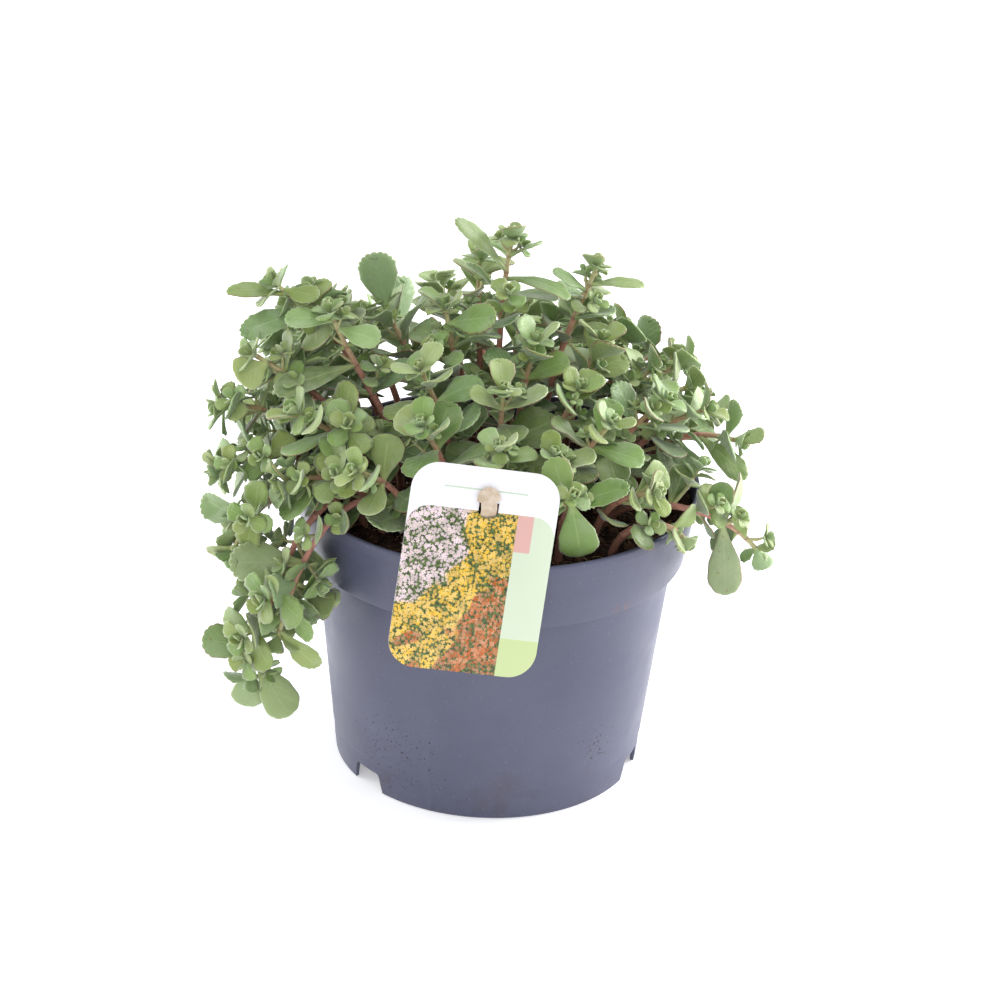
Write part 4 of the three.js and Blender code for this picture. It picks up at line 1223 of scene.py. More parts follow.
    def stake(self) -> bpy.types.Object:
        """Makes the stake as rings of a rounded strip along its middle line."""
        spine = self.stake_lines()
        heights = [self.foot + self.tip * s for s in (0, 0.3, 0.7, 1.0)]
        heights += list(np.linspace(self.foot + self.tip + 4, spine[1][1], 6))
        heights += [z for _, z in spine[2:6]]
        heights += list(np.linspace(self.neck_top - self.head_height - 0.4, self.neck_top, 12))
        heights = sorted(set(round(z, 3) for z in heights))
        backs = np.interp(heights, [z for _, z in spine], [y for y, _ in spine])
        half = self.stake_thickness / 2
        points: list[tuple[float, float, float]] = []
        around, squareness = self.stake_around, self.stake_squareness
        for z, back in zip(heights, backs):
            wide = self.stake_half_width(z)
            for step in range(around):
                a = 2 * math.pi * (step + 0.5) / around
                c, s = math.cos(a), math.sin(a)
                x = wide * math.copysign(abs(c) ** squareness, c)
                y = half * math.copysign(abs(s) ** squareness, s)
                points.append((x, back + y, z))
        faces = [list(range(around))[::-1], list(range(len(points) - around, len(points)))]
        for row in range(len(heights) - 1):
            for step in range(around):
                near = (step + 1) % around
                a, b = row * around + step, row * around + near
                faces.append([a, b, b + around, a + around])
        mesh = plain_mesh("label_stake_strip", np.array(points), faces)
        x, z, _, _ = self.slit
        slit = self.pose() @ Vector((x, 0.0, z))
        turn = Matrix.Rotation(math.radians(self.yaw), 4, "Z")
        carry(mesh, Matrix.Translation(slit) @ turn)
        piece = piece_of("label_stake_strip", mesh, StakePlastic().build(), sharp=50)
        settle(piece, "label_stake", "label_stake")
        return piece


# Plant


class Draw:
    """A plain row of drawn numbers, alike for every run."""

    FACTOR, STEP, SPAN = 1664525, 1013904223, 4294967296

    def __init__(self, seed: int) -> None:
        """Starts the row at a seed."""
        self.state = seed

    def within(self, low: float, high: float) -> float:
        """The next number between two others."""
        self.state = (self.state * self.FACTOR + self.STEP) % self.SPAN
        return low + ((high - low) * self.state) / self.SPAN


def unit(vector: Array) -> Array:
    """The vector at a length of one."""
    return vector / math.sqrt(float(vector @ vector))


UP = np.array([0.0, 0.0, 1.0])


@dataclass
class Leaf:
    """One leaf: where it starts, which way it goes, and how it is bent."""

    base: Array
    length: float
    width: float
    curl: float
    fold: float
    way: Array = field(default_factory=lambda: UP)
    face: Array = field(default_factory=lambda: UP)
    across: Array = field(default_factory=lambda: UP)
    blade: Blade = Blade.GROWN
    age: float = 0.5
    shade: float = 0.5
    harm: float = 0.0
    thick: float = 1.2

    def points(self, x: Array, y: Array) -> Array:
        """Points of the bent blade: x along it, and y across it in half widths."""
        bend = self.curl * x
        half = self.width / 2
        raised = self.fold * y * y * half
        forth = np.sin(bend) / self.curl * self.length + np.sin(bend) * raised
        down = -(1 - np.cos(bend)) / self.curl * self.length + np.cos(bend) * raised
        rows = self.base + np.outer(forth, self.way) + np.outer(down, self.face)
        return rows + np.outer(y * half, self.across)


class Shoot:
    """One arching stem with the nodes that its leaves leave from."""

    STEPS = 40
    ROOT, TIP = 1.8, 0.95
    NEAR = 2.6
    RISING, BENDING = 0.1, 0.72
    LIFT = 0.22
    OUTWARD, LEVEL, ALONG, UPWARD = 0.45, 20.0, 0.55, 0.6
    SPECIAL_FOLD = 0.15
    MOST_TWIST = 60.0

    def __init__(self, row: Sequence[float], ground: Callable[[float, float], float], play: float) -> None:
        """Lays the stem's line.

        Args:
            row: tip x, y, z, root x, y, first rise, height of the second bend, sideways
                bow, leaf pairs, longest leaf, turn of the first pair.
            ground: the soil's height at a place.
            play: how far the root starts above the soil.
        """
        x, y, z, rx, ry, rise, bend, bow, pairs, leaf, turn = row
        self.pairs, self.leaf, self.turn = int(pairs), leaf, turn
        dx, dy = x - rx, y - ry
        reach = math.hypot(dx, dy)
        self.side = np.array([-dy / reach, dx / reach, 0.0])
        low = ground(rx, ry) + play
        marks = [
            np.array([rx, ry, low]),
            np.array([rx + dx * self.RISING, ry + dy * self.RISING, low + rise]),
            np.array([rx + dx * self.BENDING, ry + dy * self.BENDING, bend]) + self.side * bow,
            np.array([x, y, z], float),
        ]
        self.points = []
        for i in range(self.STEPS + 1):
            t = i / self.STEPS
            k = 1 - t
            shares = (k * k * k, 3 * k * k * t, 3 * k * t * t, t * t * t)
            self.points.append(sum(m * s for m, s in zip(marks, shares)))
        self.along = [0.0]
        for a, b in zip(self.points, self.points[1:]):
            self.along.append(self.along[-1] + math.sqrt(float((b - a) @ (b - a))))
        self.length = self.along[-1]
        self.nodes: list[dict] = []
        self.leaves: list[Leaf] = []
        self.twigs: list[tuple[Array, Array, Array]] = []
        self.bulk = 1.0

    def radius(self, distance: float) -> float:
        """The stem's radius at a distance from the root."""
        return self.ROOT + (self.TIP - self.ROOT) * max(0.0, distance) / self.length

    def place(self, distance: float) -> tuple[Array, Array]:
        """The point and the direction of the stem at a distance from the root."""
        s = min(self.length, max(0.0, distance))
        i = 0
        while i < self.STEPS - 1 and self.along[i + 1] < s:
            i += 1
        share = (s - self.along[i]) / (self.along[i + 1] - self.along[i])
        step = self.points[i + 1] - self.points[i]
        return self.points[i] + step * share, unit(step)

    def frame(self, tangent: Array) -> tuple[Array, Array]:
        """Two directions square to the stem."""
        across = unit(self.side - tangent * float(self.side @ tangent))
        return across, np.cross(tangent, across)

    def radial(self, tangent: Array, degrees: float) -> Array:
        """The direction out of the stem at an angle round it."""
        across, up = self.frame(tangent)
        a = math.radians(degrees)
        return across * math.cos(a) + up * math.sin(a)

    def node_at(self, distance: float) -> dict:
        """The node at a distance, shared with one that is very near."""
        for node in self.nodes:
            if abs(node["distance"] - distance) < self.NEAR:
                return node
        node = {"distance": distance, "feet": {}, "taken": False}
        self.nodes.append(node)
        return node

    def leaf_from(
        self, distance: float, angle: float, spread: float, size: Sequence[float], roll: float
    ) -> Leaf:
        """A leaf that leaves the stem at an angle, with its face to the light.

        Args:
            distance: where it leaves the stem.
            angle: its turn round the stem, in degrees.
            spread: its angle off the stem, in degrees.
            size: its length, width, curl and fold.
            roll: its turn about its own line, in degrees.

        Returns:
            The leaf.
        """
        point, tangent = self.place(distance)
        out = self.radial(tangent, angle)
        a, r = math.radians(spread), math.radians(roll)
        leaf = Leaf(point, *size)
        leaf.way = unit(tangent * math.cos(a) + out * math.sin(a) + UP * self.LIFT)
        outward = self.OUTWARD / (math.hypot(point[0], point[1]) + self.LEVEL)
        sky = np.array([point[0] * outward, point[1] * outward, self.UPWARD])
        light = tangent * self.ALONG + sky
        light = unit(light - leaf.way * float(light @ leaf.way))
        edge = np.cross(leaf.way, light)
        leaf.face = light * math.cos(r) + edge * math.sin(r)
        leaf.across = np.cross(leaf.way, leaf.face)
        return leaf

    def leaf_toward(self, distance: float, tip: Array, width: float, curl: float, hint: Array) -> Leaf:
        """A leaf whose tip lies at a given point, with its face turned as the hint says."""
        point, _ = self.place(distance)
        way = tip - point
        reach = math.sqrt(float(way @ way))
        length = reach * (1 + (curl * curl) / 24)
        way = unit(way)
        face = unit(hint - way * float(hint @ way))
        leaf = Leaf(point, length, width, curl, self.SPECIAL_FOLD)
        c, s = math.cos(curl / 2), math.sin(curl / 2)
        leaf.way = way * c + face * s
        leaf.face = face * c - way * s
        leaf.across = np.cross(leaf.way, leaf.face)
        return leaf

    def twist(self, leaf: Leaf, distance: float, side: int) -> float:
        """How far a leaf is turned about its own line against a side of the stem, in radians."""
        _, tangent = self.place(distance)
        foot = np.cross(self.radial(tangent, self.turn + 90 * side), tangent)
        level = unit(foot - leaf.way * float(foot @ leaf.way))
        return math.atan2(float(leaf.way @ np.cross(level, leaf.across)), float(level @ leaf.across))

    def settle_leaf(self, leaf: Leaf, distance: float, side: int, most: float = MOST_TWIST) -> None:
        """Limits the leaf's twist against the side of the stem that it leaves from."""
        twist = self.twist(leaf, distance, side)
        limit = math.radians(most)
        back = min(limit, max(-limit, twist)) - twist
        turned = np.cross(leaf.way, leaf.across)
        leaf.across = leaf.across * math.cos(back) + turned * math.sin(back)
        leaf.face = np.cross(leaf.across, leaf.way)


class Room:
    """The space that stems and leaves have taken, as balls."""

    MOST = 40000
    REACH = 4.2

    def __init__(self) -> None:
        """Starts with no balls."""
        self.size = 0
        self.balls = np.zeros((self.MOST, 4))
        self.owners = np.zeros((self.MOST, 3))

    def put(self, points: Array, radius: float, owner: tuple[float, float, float]) -> None:
        """Adds balls.

        Args:
            points: their middles.
            radius: their radius.
            owner: the shoot's number, the distance along it, and 1 for a stem.
        """
        count = len(points)
        rows = slice(self.size, self.size + count)
        self.balls[rows, :3] = points
        self.balls[rows, 3] = radius
        self.owners[rows] = owner
        self.size += count

    def clash(self, points: Array, radius: float) -> tuple[Array, Array]:
        """Which points touch which balls.

        Args:
            points: the points to test.
            radius: the gap that each keeps.

        Returns:
            A table of points by balls, and the owners of those balls.
        """
        balls = self.balls[: self.size]
        low, high = points.min(0) - self.REACH, points.max(0) + self.REACH
        near = np.all((balls[:, :3] > low) & (balls[:, :3] < high), axis=1)
        balls, owners = balls[near], self.owners[: self.size][near]
        gaps = np.sqrt(((points[:, None] - balls[None, :, :3]) ** 2).sum(2))
        return gaps < radius + balls[:, 3], owners


@dataclass
class Plant:
    """The plant: 48 arching shoots with leaf pairs that give way to their neighbours."""

    pot: Pot
    soil: Soil
    label: Label
    gap: float = 1.6
    probe: float = 1.55
    stalk: float = 0.5
    stalk_probes: int = 2
    stalk_reach: float = 4.0
    stem_margin: float = 0.6
    stem_step: float = 2.0
    soil_gap: float = 1.8
    card_half: float = 1.2
    special_twist: float = 62.0
    shoots: list[Shoot] = field(default_factory=list)

    WIDEST, STALK = 0.64, 0.14
    DEGREES_PER_SHARE, LEAST_AWAY, REFUSAL = 60.0, 0.25, 9.0
    NOWHERE = -99.0
    SEED, SEED_STEP = 7, 101
    SWING, ROLL, SPREAD = 14, 24, 9
    LENGTH, WIDTH = (0.84, 1.12), (0.68, 0.86)
    CURL, FOLD = (0.1, 0.75), (0.05, 0.35)
    REFERENCE_LENGTH, LEAST_PLACE = 26, 8
    LARGE, SMALL = 17.0, 11.0
    HANGING = -75.0
    BULK = 1.3
    FINE_SEED, FINE_STEP = 4001, 59
    LONG_SHARE, HANGING_SHARE, BUD_SHARE = 0.22, 0.55, 0.4
    TIP_LEAF, BUD_LEAF, TWIG_LEAF = (7.5, 10.0), (4.5, 8.0), (6.5, 9.0)
    TIP_PAIRS, TWIG_PAIRS, BUD_PAIRS = 5, 4, 3
    BARE_END, BUSY_END = 7, 22
    AXIL_SWING = 20
    LONG_TWIG, SHORT_TWIG = (9.0, 20.0), (3.0, 6.5)
    TWIG_RISE, TWIG_LEANING = 1.2, 0.3
    LEAFY, TWO_PAIRED = 8, 14
    PAIR_LEAF, PAIR_LOSS = (9.0, 12.5), 0.15
    PAIR_SPREAD, SPREAD_LOSS = 74, 8
    OPEN_SPREAD = 45
    YOUNG_TURN, YOUNG_TILT = 10, 7
    YOUNG_LENGTH, YOUNG_WIDTH = (0.88, 1.12), (0.8, 0.98)
    OPEN_CURL, SHUT_CURL, YOUNG_FOLD = (0.1, 0.6), (0.2, 0.7), (0.1, 0.35)
    YOUNG_THICK = 0.7
    TIP_SPREAD, TIP_CLOSING, TIP_SHRINK, TIP_RISE = 70, 14, 0.8, 0.5
    TONE_SEED, TONE_STEP = 911, 37
    AGE_REACH, AGE_DRIFT = 55, (-0.2, 0.22)
    GROWN_AGE, SMALL_AGE = 0.3, 0.12
    GROWN_THICK, SMALL_THICK = 1.25, 0.95
    STEP, LEAST_STEP = 2.0, 0.3
    ABOUT_NODE = (-1.3, -0.5, 0.0, 0.5, 1.3)
    SUNK, TIP_GIRTH = 10, 0.35
    SWELL, SWELL_REACH, SCAR_REACH = 0.2, 1.1, 0.45
    TWIG_GIRTHS = (0.9, 0.7, 0.5)
    BARK_SEED = 60

    def rows(self) -> list[tuple]:
        """Each shoot's own numbers, as Shoot asks for them."""
        return [
            (2, 20, 226, -2, 12, 60, 205, 3, 7, 22, 20), (-11, 34, 210, -8, 24, 55, 188, 2, 7, 21, 0),
            (37, 26, 212, 16, 14, 55, 195, 0, 7, 20, 20), (-50, 26, 191, -26, 12, 50, 178, 0, 6, 24, 0),
            (-92, 2, 208, -40, 3, 50, 196, 0, 6, 20, 0),
            (-70, -12, 203, -30, -16, 24, 176, 0, 6, 23, 0),
            (-70, 24, 190, -38, 20, 50, 180, 0, 6, 24, 0), (-24, 2, 201, -14, -2, 50, 186, 0, 7, 25, 0),
            (-27, 48, 192, -14, 36, 50, 182, 0, 6, 24, 0), (20, 34, 183, 8, 28, 50, 176, 0, 6, 22, 0),
            (50, 44, 178, 28, 28, 45, 170, 0, 6, 23, 0), (13, -8, 192, 6, -6, 45, 180, 0, 7, 25, 20),
            (40, 6, 188, 24, 0, 45, 176, 0, 6, 25, 0), (62, 20, 170, 38, 12, 40, 164, 0, 6, 23, 30),
            (-32, -32, 188, -16, -24, 40, 176, 0, 7, 25, 0),
            (-30, -54, 174, -16, -42, 34, 164, 0, 5, 22, 30),
            (1, -36, 182, 0, -26, 40, 170, 0, 6, 26, 0), (0, -60, 168, 2, -46, 30, 158, 0, 5, 24, 45),
            (31, -22, 178, 19, -18, 36, 168, 0, 6, 25, 0),
            (44, -42, 173, 27, -32, 34, 164, 0, 5, 24, 20),
            (22, -58, 165, 18, -46, 30, 156, 0, 5, 24, 0),
            (30, -70, 153, 26, -58, 22, 148, 0, 5, 28, 0),
            (62, -52, 148, 40, -44, 22, 146, 0, 6, 23, 0),
            (66, -16, 172, 42, -12, 34, 164, 0, 6, 24, 0),
            (76, -54, 130, 48, -50, 14, 140, 0, 6, 17, 20), (84, -2, 163, 50, 2, 30, 158, 0, 6, 23, 0),
            (78, 26, 160, 48, 22, 34, 157, 0, 6, 21, 40), (99, 10, 144, 60, 12, 24, 148, 0, 6, 22, 0),
            (108, -28, 113, 44, -26, 16, 141, -12, 8, 20, 45),
            (78, 50, 160, 50, 36, 36, 158, 0, 5, 22, 0),
            (-100, -18, 186, -44, -12, 34, 176, 0, 6, 22, 0),
            (-113, -8, 158, -56, -2, 30, 160, 0, 8, 23, 20),
            (-112, -28, 139, -56, -20, 28, 150, 0, 8, 23, 0),
            (-80, -38, 170, -44, -26, 30, 162, 0, 6, 25, 0),
            (-84, -52, 146, -46, -38, 26, 150, 0, 7, 23, 0),
            (-55, -62, 157, -34, -44, 26, 152, 0, 6, 23, 0),
            (-106, -46, 112, -54, -34, 20, 151, 0, 8, 23, 0),
            (-97, -60, 62, -34, -24, 10, 176, 4, 9, 22, 70),
            (-86, -66, 84, -28, -31, 10, 169, 3, 8, 21, 80),
            (-96, 24, 176, -52, 16, 34, 170, 0, 6, 22, 0),
            (-84, 54, 164, -48, 36, 36, 164, 0, 6, 24, 0),
            (-56, 88, 156, -30, 50, 36, 162, 0, 6, 26, 30),
            (-10, 98, 150, -6, 56, 34, 158, 0, 6, 26, 0), (34, 94, 151, 18, 54, 32, 158, 0, 6, 26, 0),
            (70, 76, 150, 38, 44, 34, 158, 0, 6, 25, 0), (90, 42, 142, 56, 32, 28, 150, 0, 6, 22, 0),
            (-104, 44, 132, -60, 34, 24, 150, 0, 7, 22, 0), (8, 60, 176, 4, 44, 46, 172, 0, 5, 25, 0),
        ]

    def special_leaves(self) -> list[tuple]:
        """Leaves with a place of their own: shoot, distance below its tip, where the leaf's
        tip lies, its width, how far it arches in radians, and the way that its face looks."""
        return [
            (0, 14, -22, 15, 236, 9, 0.5, 0.3, -0.5, 1), (0, 17, 27, 10, 205, 10, 0.8, 0.2, -0.3, 1),
            (2, 7, 58, 28, 205, 8, 0.4, 0, -0.3, 1), (2, 10, 19, 20, 213, 9, 0.3, 0, -0.3, 1),
            (3, 2, -55, 20, 218, 17, 0.15, 0, 1, -0.35), (4, 5, -114, 0, 206, 10, 0.35, -0.2, -0.3, 1),
            (4, 2, -76, -8, 208, 11, 0.3, 0, -0.5, 1),
            (4, 14, -107, -12, 192, 13, 0.3, -0.3, -0.7, 0.6),
            (30, 6, -107, -28, 180, 16, 0.2, -0.2, -0.9, 0.5),
            (5, 3, -89, -14, 201, 12, 0.3, 0, -0.5, 1), (5, 7, -50, -20, 195, 13, 0.4, 0, -0.6, 1),
            (5, 24, -92, -27, 174, 13, 0.2, 0, -0.6, 1), (27, 4, 98, 9, 163, 10, 0.1, 0.8, 0.6, 0),
            (27, 1, 111, 9, 149, 9, 0.3, 0, 0.5, -1), (27, 16, 104, 0, 131, 11, 0.3, 0.2, -0.7, 0.7),
            (28, 21, 96, -42, 98, 15, 0.15, 0, 1, -0.2),
            (28, 1, 113, -34, 107, 11, 0.2, -0.3, 0.6, -0.8),
            (28, 21, 91, -34, 146, 11, 0.2, 0, -1, 0.2), (28, 8, 99, -34, 134, 8, 0.25, 0.1, -0.9, 0.3),
            (21, 2, 35, -69, 127, 17, 0.15, 0, -0.9, 0.4),
            (21, 4.8, 21, -64, 168, 13, 0.2, 0, -0.9, 0.6),
            (21, 8, 53, -64, 157, 11, 0.2, 0, -0.6, 0.9),
            (38, 33, -107, -62, 114, 18, 0.15, -0.1, 0.8, -0.6),
            (37, 12, -118, -60, 77, 15, 0.2, 0, 0.9, -0.4),
            (37, 2, -100, -65, 49, 14, 0.2, 0, 0.9, -0.4), (37, 7, -81, -70, 48, 16, 0.2, 0, 0.9, -0.4),
            (38, 2, -69, -68, 71, 11, 0.4, -0.6, -0.7, 0.3), (7, 6, -3, -8, 203, 15, 0.3, 0, -0.7, 0.8),
        ]

    PAIRS = (
        (1, 0.34, 24), (3.5, 0.55, 40), (8.5, 0.76, 54), (17, 0.93, 62), (29, 1, 68),
        (43, 0.96, 72), (58, 0.86, 76), (73, 0.8, 78), (88, 0.75, 78),
    )
    TRIES = (
        (0, 0, 1), (14, 0, 1), (-14, 0, 1), (0, 22, 1), (0, -22, 1),
        (18, 22, 0.95), (18, -22, 0.95), (-18, 22, 0.95), (-18, -22, 0.95),
        (28, 40, 0.85), (28, -40, 0.85), (-26, 35, 0.8), (-26, -35, 0.8),
        (10, 40, 0.7), (10, -40, 0.7), (30, 0, 0.6), (-20, 0, 0.5),
    )
    PROBE_ROWS = (
        (0.12, (0.0,)), (0.22, (0.0,)), (0.32, (-0.7, 0.0, 0.7)), (0.39, (0.0,)),
        (0.46, (-0.9, -0.3, 0.3, 0.9)), (0.54, (0.0,)), (0.62, (-0.92, -0.46, 0.0, 0.46, 0.92)),
        (0.7, (0.0,)), (0.78, (-0.9, -0.45, 0.0, 0.45, 0.9)), (0.86, (0.0,)),
        (0.94, (-0.8, -0.27, 0.27, 0.8)),
    )

    @staticmethod
    def half_width(x: float) -> float:
        """The share of a blade's half width at a share of its length."""
        widest, stalk = Plant.WIDEST, Plant.STALK
        if x < widest:
            return stalk + (1 - stalk) * (x / widest)
        return math.sqrt(max(0.0, 1 - ((x - widest) / (1 - widest)) ** 2))

    def probes(self, leaf: Leaf) -> Array:
        """The points of a leaf that are tested against what is there already."""
        pairs = [(x, y) for x, row in self.PROBE_ROWS for y in row]
        x = np.array([p[0] for p in pairs])
        y = np.array([p[1] * self.half_width(p[0]) for p in pairs])
        return leaf.points(x, y)

    def clear_of_pot(self, point: Array) -> bool:
        """Whether a point keeps its gap to the pot, the soil, the card and the stake."""
        x, y, z = (float(c) for c in point)
        if z < self.gap + 1:
            return False
        r = math.hypot(x, y)
        if z < self.pot.height + self.gap:
            wall = self.pot.outer(min(z, self.pot.height))
            above = z > self.soil.height(x, y) + self.soil_gap
            inside = r < wall - self.pot.wall - self.gap and above
            if r < wall + self.gap and not inside:
                return False
        card = self.card_back @ np.array([x, y, z, 1.0])
        over = abs(card[0]) < self.label.width / 2 + self.gap
        over = over and abs(card[2]) < self.label.height / 2 + self.gap
        if over and abs(card[1]) < self.card_half + self.gap:
            return False
        beside = abs(x - self.slit[0]) < self.label.head_width / 2 + self.gap
        hindmost = self.slit[1] + self.label.foot_back + self.gap
        beside = beside and self.label.centre[1] < y < hindmost
        return not (beside and z < self.slit[2] + self.label.neck_top)

    def lay_out(self) -> None:
        """Lays every stem and finds every leaf its place, as the source model does."""
        pose = np.array(self.label.pose())
        self.card_back = np.linalg.inv(pose)
        self.slit = (pose @ np.array([self.label.slit[0], 0.0, self.label.slit[1], 1.0]))[:3]
        self.shoots = [Shoot(row, self.soil.height, self.soil.play) for row in self.rows()]
        room = Room()
        for n, shoot in enumerate(self.shoots):
            steps = math.floor(shoot.length / self.stem_step)
            for i in range(steps + 1):
                distance = shoot.length * i / steps
                radius = shoot.radius(distance) + self.stem_margin
                room.put(shoot.place(distance)[0][None], radius, (n, self.NOWHERE, 1.0))
        for n, back, x, y, z, width, curl, hx, hy, hz in self.special_leaves():
            shoot = self.shoots[n]
            node = shoot.node_at(shoot.length - back)
            tip, hint = np.array([x, y, z], float), np.array([hx, hy, hz], float)
            leaf = shoot.leaf_toward(node["distance"], tip, width, curl, hint)
            side = self.best_side(shoot, node, leaf)
            shoot.settle_leaf(leaf, node["distance"], side, self.special_twist)
            self.keep(room, leaf, n, node, side)
            node["taken"] = True
        for n in range(len(self.shoots)):
            self.grow_pairs(room, n)

    def best_side(self, shoot: Shoot, node: dict, leaf: Leaf) -> int:
        """The free side of the stem that a leaf leaves from with the least twist."""
        _, tangent = shoot.place(node["distance"])
        best = (self.NOWHERE, 0)
        for side in range(4):
            away = float(leaf.way @ shoot.radial(tangent, shoot.turn + 90 * side))
            twist = abs(math.degrees(shoot.twist(leaf, node["distance"], side)))
            loss = twist / self.DEGREES_PER_SHARE if away > self.LEAST_AWAY else self.REFUSAL
            score = away - loss
            if side not in node["feet"] and score > best[0]:
                best = (score, side)
        return best[1]

    def keep(self, room: Room, leaf: Leaf, n: int, node: dict, side: int) -> None:
        """Keeps a leaf and the space that it takes."""
        node["feet"][side] = leaf
        room.put(self.probes(leaf), self.probe, (n, node["distance"], 0.0))
        self.shoots[n].leaves.append(leaf)

    def clear(self, room: Room, leaf: Leaf, n: int, node: dict) -> bool:
        """Whether a leaf keeps clear of all that is there."""
        points = self.probes(leaf)
        k = self.stalk_probes
        if not all(self.clear_of_pot(p) for p in points[k:]):
            return False
        touched, _ = room.clash(points[k:], self.probe)
        if touched.any():
            return False
        touched, owners = room.clash(points[:k], self.probe)
        if touched[:, owners[:, 0] != n].any():
            return False
        touched, owners = room.clash(points[:k], self.stalk)
        own = owners[:, 0] == n
        close = np.abs(owners[:, 1] - node["distance"]) < self.stalk_reach
        beside = own & ((owners[:, 2] == 1) | close)
        return not touched[:, ~beside].any()

    def grow_pairs(self, room: Room, n: int) -> None:
        """Grows the leaf pairs of one shoot."""
        shoot = self.shoots[n]
        draw = Draw(self.SEED + self.SEED_STEP * n)
        for k, (back, share, spread) in enumerate(self.PAIRS[: shoot.pairs]):
            place = shoot.length - (back * shoot.leaf) / self.REFERENCE_LENGTH
            for half in range(2):
                angle = shoot.turn + 90 * k + 180 * half + draw.within(-self.SWING, self.SWING)
                length = shoot.leaf * share * draw.within(*self.LENGTH)
                width = length * draw.within(*self.WIDTH)
                curl = draw.within(*self.CURL)
                fold = draw.within(*self.FOLD)
                roll = draw.within(-self.ROLL, self.ROLL)
                spreading = spread + draw.within(-self.SPREAD, self.SPREAD)
                if place < self.LEAST_PLACE:
                    continue
                node = shoot.node_at(place)
                side = (k + 2 * half) % 4
                if side in node["feet"] or (node["taken"] and (side + 2) % 4 not in node["feet"]):
                    continue
                for more, swing, size in self.TRIES:
                    sizes = (length * size, width * size, curl, fold)
                    turn, off = angle + swing, spreading + more
                    leaf = shoot.leaf_from(node["distance"], turn, off, sizes, roll)
                    shoot.settle_leaf(leaf, node["distance"], side)
                    if self.clear(room, leaf, n, node):
                        self.keep(room, leaf, n, node, side)
                        break

    def colour_leaves(self) -> None:
        """Gives every leaf its age, shade and blemishes."""
        for n, shoot in enumerate(self.shoots):
            draw = Draw(self.TONE_SEED + self.TONE_STEP * n)
            for leaf in shoot.leaves:
                near = float(np.linalg.norm(leaf.base - shoot.points[-1]))
                grown = self.GROWN_AGE if leaf.length > self.LARGE else self.SMALL_AGE
                age = grown + near / self.AGE_REACH + draw.within(*self.AGE_DRIFT)
                leaf.age = min(1.0, max(0.0, age))
                leaf.shade = draw.within(0.0, 1.0)
                leaf.harm = draw.within(0.0, 1.0)
                leaf.thick = self.GROWN_THICK if leaf.length > self.SMALL else self.SMALL_THICK

    def add_fine_growth(self) -> None:
        """Adds the young leaves of the tips, the buds in the leaf axils and the side twigs."""
        for n, shoot in enumerate(self.shoots):
            draw = Draw(self.FINE_SEED + self.FINE_STEP * n)
            point, tangent = shoot.place(shoot.length)
            hanging = point[0] < self.HANGING
            long_share = self.HANGING_SHARE if hanging else self.LONG_SHARE
            shoot.bulk = self.BULK if hanging else 1.0
            longest = draw.within(*self.TIP_LEAF)
            self.rosette(shoot, point + tangent * 0.4, tangent, draw, longest, self.TIP_PAIRS)
            for node in list(shoot.nodes):
                distance = node["distance"]
                if shoot.length - distance < self.BARE_END:
                    continue
                for side in list(node["feet"]):
                    chance = draw.within(0, 1)
                    size = draw.within(*self.BUD_LEAF)
                    swing = draw.within(-self.AXIL_SWING, self.AXIL_SWING)
                    angle = shoot.turn + 90 * side + swing
                    if chance < long_share and shoot.length - distance > self.BUSY_END:
                        self.twig(shoot, distance, angle, draw.within(*self.LONG_TWIG), draw)
                    elif chance < long_share + self.BUD_SHARE:
                        self.twig(shoot, distance, angle, draw.within(*self.SHORT_TWIG), draw, size)

    def twig(
        self, shoot: Shoot, distance: float, angle: float, length: float, draw: Draw, size: float = 0.0
    ) -> None:
        """Adds a side twig that ends in a rosette, with leaf pairs where it is long.

        Args:
            shoot: the shoot that it grows from.
            distance: where it leaves the stem.
            angle: its turn round the stem, in degrees.
            length: its length.
            draw: the row of drawn numbers.
            size: the longest leaf of its rosette, or 0 for one that goes with its length.
        """
        at, along = shoot.place(distance + self.TWIG_RISE)
        out = shoot.radial(along, angle)
        way = unit(along * 0.6 + out * 0.8 + UP * 0.2)
        bent = unit(way + UP * self.TWIG_LEANING)
        middle = at + way * (shoot.radius(distance) + 0.5 * length)
        end = middle + bent * (0.5 * length)
        shoot.twigs.append((at, middle, end))
        if length > self.LEAFY:
            size = 0.0
            pairs = 1 if length < self.TWO_PAIRED else 2
            for k in range(pairs):
                base = middle + (end - middle) * (0.1 + 0.55 * k)
                longest = draw.within(*self.PAIR_LEAF) * (1 - self.PAIR_LOSS * k)
                spread = self.PAIR_SPREAD - self.SPREAD_LOSS * k
                self.young_pair(shoot, base, bent, draw, longest, spread, 90.0 * k + angle)
        pairs = self.BUD_PAIRS if size else self.TWIG_PAIRS
        self.rosette(shoot, end, bent, draw, size or draw.within(*self.TWIG_LEAF), pairs)

